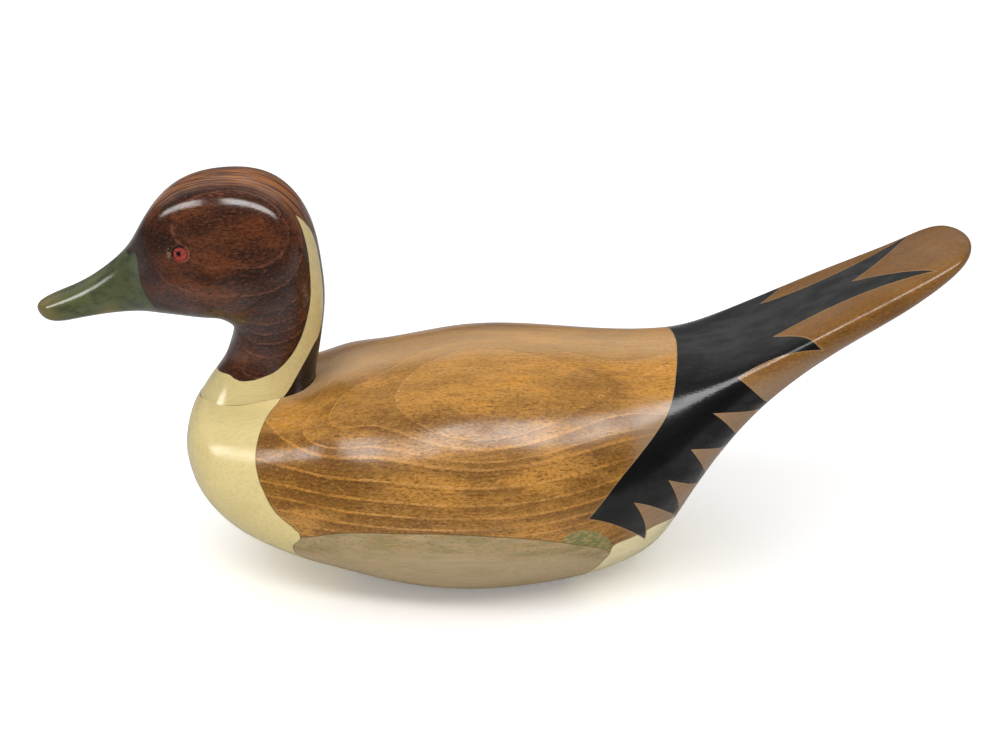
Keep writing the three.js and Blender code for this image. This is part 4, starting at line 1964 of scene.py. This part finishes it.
@dataclass
class Studio:
    """The plain floor, the soft light and the camera."""

    target: Triple = (0.0025, 0.0, 0.102)
    distance: float = 0.778
    elevation: float = 25.0
    focal_pixels: float = 1574.0
    picture_width: int = 1008
    sensor: float = 36.0
    floor_half: float = 4.0
    light_distance: float = 1.3
    light_turn: float = 15.0
    light_elevation: float = 52.0
    light_size: Pair = (1.8, 0.3)
    light_power: float = 9.1
    gleam_spans: tuple[Pair, ...] = ((-2.7, -0.78), (-0.45, 1.6))
    gleam_height: float = 0.5
    gleam_power: float = 28.0
    gleam_nearness: float = 0.97
    canopy_size: Pair = (2.0, 1.5)
    canopy_height: float = 1.5
    canopy_power: float = 7.8
    surround: float = 0.42
    mirrored_front: float = 0.03
    mirrored_back: Pair = (0.15, 0.52)
    mirrored_side: float = 0.02
    floor_seen: float = 1.15
    floor_glow: Pair = (0.2, 0.45)
    floor_bounce: float = 0.8
    floor_mirrored: Triple = (0.1, 0.55, 0.2)
    near_floor: Pair = (-0.34, -0.2)
    left_floor: Pair = (-0.2, -0.45)
    glow_reach: Pair = (0.3, 1.3)
    back_height: Pair = (0.22, 0.46)
    back_depth: Pair = (-0.2, 0.6)
    left_side: Pair = (-0.5, -0.8)
    far_clip: float = 50.0

    def build(self) -> None:
        """Sets up the floor, the light, the surroundings and the camera."""
        self._floor()
        self._light()
        self._surround()
        self._camera()
        bpy.context.scene.view_settings.view_transform = "Standard"
        LOG.info("studio: floor, soft light and camera")

    def _floor(self) -> None:
        """Lays the pale floor."""
        Carving.clear_selection()
        bpy.ops.mesh.primitive_plane_add(size=2 * self.floor_half, location=(0, 0, 0))
        floor = bpy.context.object
        floor.name = "studio_floor"
        material = bpy.data.materials.new("pale_floor")
        bench = PaintBench.cleared(material)
        rays = bench.node("ShaderNodeLightPath").outputs
        spot = bench.node("ShaderNodeTexCoord").outputs["Object"]
        ahead, depth, _ = bench.split(spot)
        far = bench.vector("LENGTH", spot)
        close_by = bench.ease(depth, *self.near_floor, *self.floor_mirrored[:2])
        leftward = bench.ease(ahead, *self.left_floor, 0.0, self.floor_mirrored[2])
        mirrored = bench.highest(close_by, leftward)
        change = bench.less(mirrored, self.floor_bounce)
        bounce = bench.maths("MULTIPLY_ADD", rays["Is Glossy Ray"], change, self.floor_bounce)
        seen = bench.times(rays["Is Camera Ray"], self.floor_seen)
        share = bench.highest(bounce, seen)
        paper = bench.node("ShaderNodeBsdfDiffuse")
        bench.feed(paper.inputs["Color"], bench.join(share, share, share))
        glow = bench.node("ShaderNodeEmission")
        shine = bench.ease(far, *self.glow_reach, *self.floor_glow)
        bench.feed(glow.inputs["Strength"], bench.times(rays["Is Camera Ray"], shine))
        both = bench.node("ShaderNodeAddShader")
        for socket, shader in zip(both.inputs, (paper, glow)):
            bench.feed(socket, shader.outputs[0])
        bench.finish(both)
        floor.data.materials.append(material)

    def _light(self) -> None:
        """Hangs the soft light on the camera's side, the long strip it mirrors in, and the canopy."""
        aim = Vector(self.target)
        angle = math.radians(self.light_elevation)
        ahead = Vector((0, -math.cos(angle), math.sin(angle))) * self.light_distance
        aside = Matrix.Rotation(-math.radians(self.light_turn), 3, "Z") @ ahead
        soft = self._hang("soft_light", aim + aside, self.light_size, self.light_power)
        soft.visible_glossy = False
        for left, right in self.gleam_spans:
            middle = aim + ahead * self.gleam_nearness + Vector(((left + right) / 2, 0, 0))
            size = (right - left, self.gleam_height)
            strip = self._hang("gleam", middle, size, self.gleam_power * size[0] * size[1])
            strip.rotation_euler = (math.radians(90) - angle, 0, 0)
            strip.visible_diffuse = False
        overhead = Vector((aim.x, aim.y, self.canopy_height))
        canopy = self._hang("canopy", overhead, self.canopy_size, self.canopy_power)
        canopy.visible_glossy = False

    def _hang(self, name: str, place: Vector, size: Pair, power: float) -> Piece:
        """Hangs one rectangular light that looks at the decoy.

        Args:
            name: Name of the light.
            place: Where it hangs.
            size: Its width and height, in metres.
            power: Its power, in watts.

        Returns:
            The light.
        """
        lamp = bpy.data.lights.new(name, "AREA")
        lamp.shape = "RECTANGLE"
        lamp.size, lamp.size_y = size
        lamp.energy = power
        holder = bpy.data.objects.new(name, lamp)
        holder.location = place
        holder.rotation_euler = (Vector(self.target) - place).to_track_quat("-Z", "Y").to_euler()
        bpy.context.scene.collection.objects.link(holder)
        return holder

    def _surround(self) -> None:
        """Lights the room evenly; the varnish mirrors it bright behind the decoy and dim in front."""
        world = bpy.data.worlds.new("white_room")
        bpy.context.scene.world = world
        bench = PaintBench.cleared(world)
        ahead, depth, height = bench.split(bench.node("ShaderNodeTexCoord").outputs["Generated"])
        back = bench.ease(height, *self.back_height, *self.mirrored_back)
        mirrored = bench.ease(depth, *self.back_depth, self.mirrored_front, back)
        beside = bench.ease(ahead, *self.left_side, 0.0, self.mirrored_side)
        rays = bench.node("ShaderNodeLightPath").outputs
        change = bench.less(bench.highest(mirrored, beside), self.surround)
        room = bench.node("ShaderNodeBackground")
        room.inputs["Color"].default_value = stain(255, 255, 255)
        strength = bench.maths("MULTIPLY_ADD", rays["Is Glossy Ray"], change, self.surround)
        bench.feed(room.inputs["Strength"], bench.highest(strength, rays["Is Camera Ray"]))
        bench.finish(room, "ShaderNodeOutputWorld")

    def _camera(self) -> None:
        """Sets up the camera at the photograph's angle."""
        angle = math.radians(self.elevation)
        aim = Vector(self.target)
        lens = bpy.data.cameras.new("camera")
        lens.sensor_width = self.sensor
        lens.lens = self.focal_pixels / self.picture_width * self.sensor
        lens.clip_end = self.far_clip
        holder = bpy.data.objects.new("camera", lens)
        holder.location = aim + Vector((0, -math.cos(angle), math.sin(angle))) * self.distance
        holder.rotation_euler = (math.radians(90 - self.elevation), 0, 0)
        bpy.context.scene.collection.objects.link(holder)
        bpy.context.scene.camera = holder


def main() -> None:
    """Builds the decoy piece by piece and reports each one."""
    logging.basicConfig(level=logging.INFO, format="%(name)s: %(message)s")
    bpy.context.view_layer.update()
    Studio().build()
    finishes = SharedFinishes()
    head_block = CarvedHead()
    head = head_block.blank()
    body = CarvedBody().build(head)
    eyes = [SetEye(side, head_block.skin) for side in Side]
    head_block.drill_sockets(head, eyes)
    body_finish = BodyFinish(finishes, BodyPaint(), BodyStains())
    Carving.hand_over(body, body_finish.material, "body_wood", "body")
    eye_centre, _ = eyes[0].place()
    head_finish = HeadFinish(finishes, HeadPaint(), HeadStains(), eye_centre)
    Carving.hand_over(head, head_finish.material, "head_wood", "head_and_neck")
    glass = EyeFinish(EyeStains()).material
    for eye in eyes:
        Carving.hand_over(eye.build(), glass, "eye_glass", "eye_" + eye.side.name.lower())


if __name__ == "__main__":
    main()
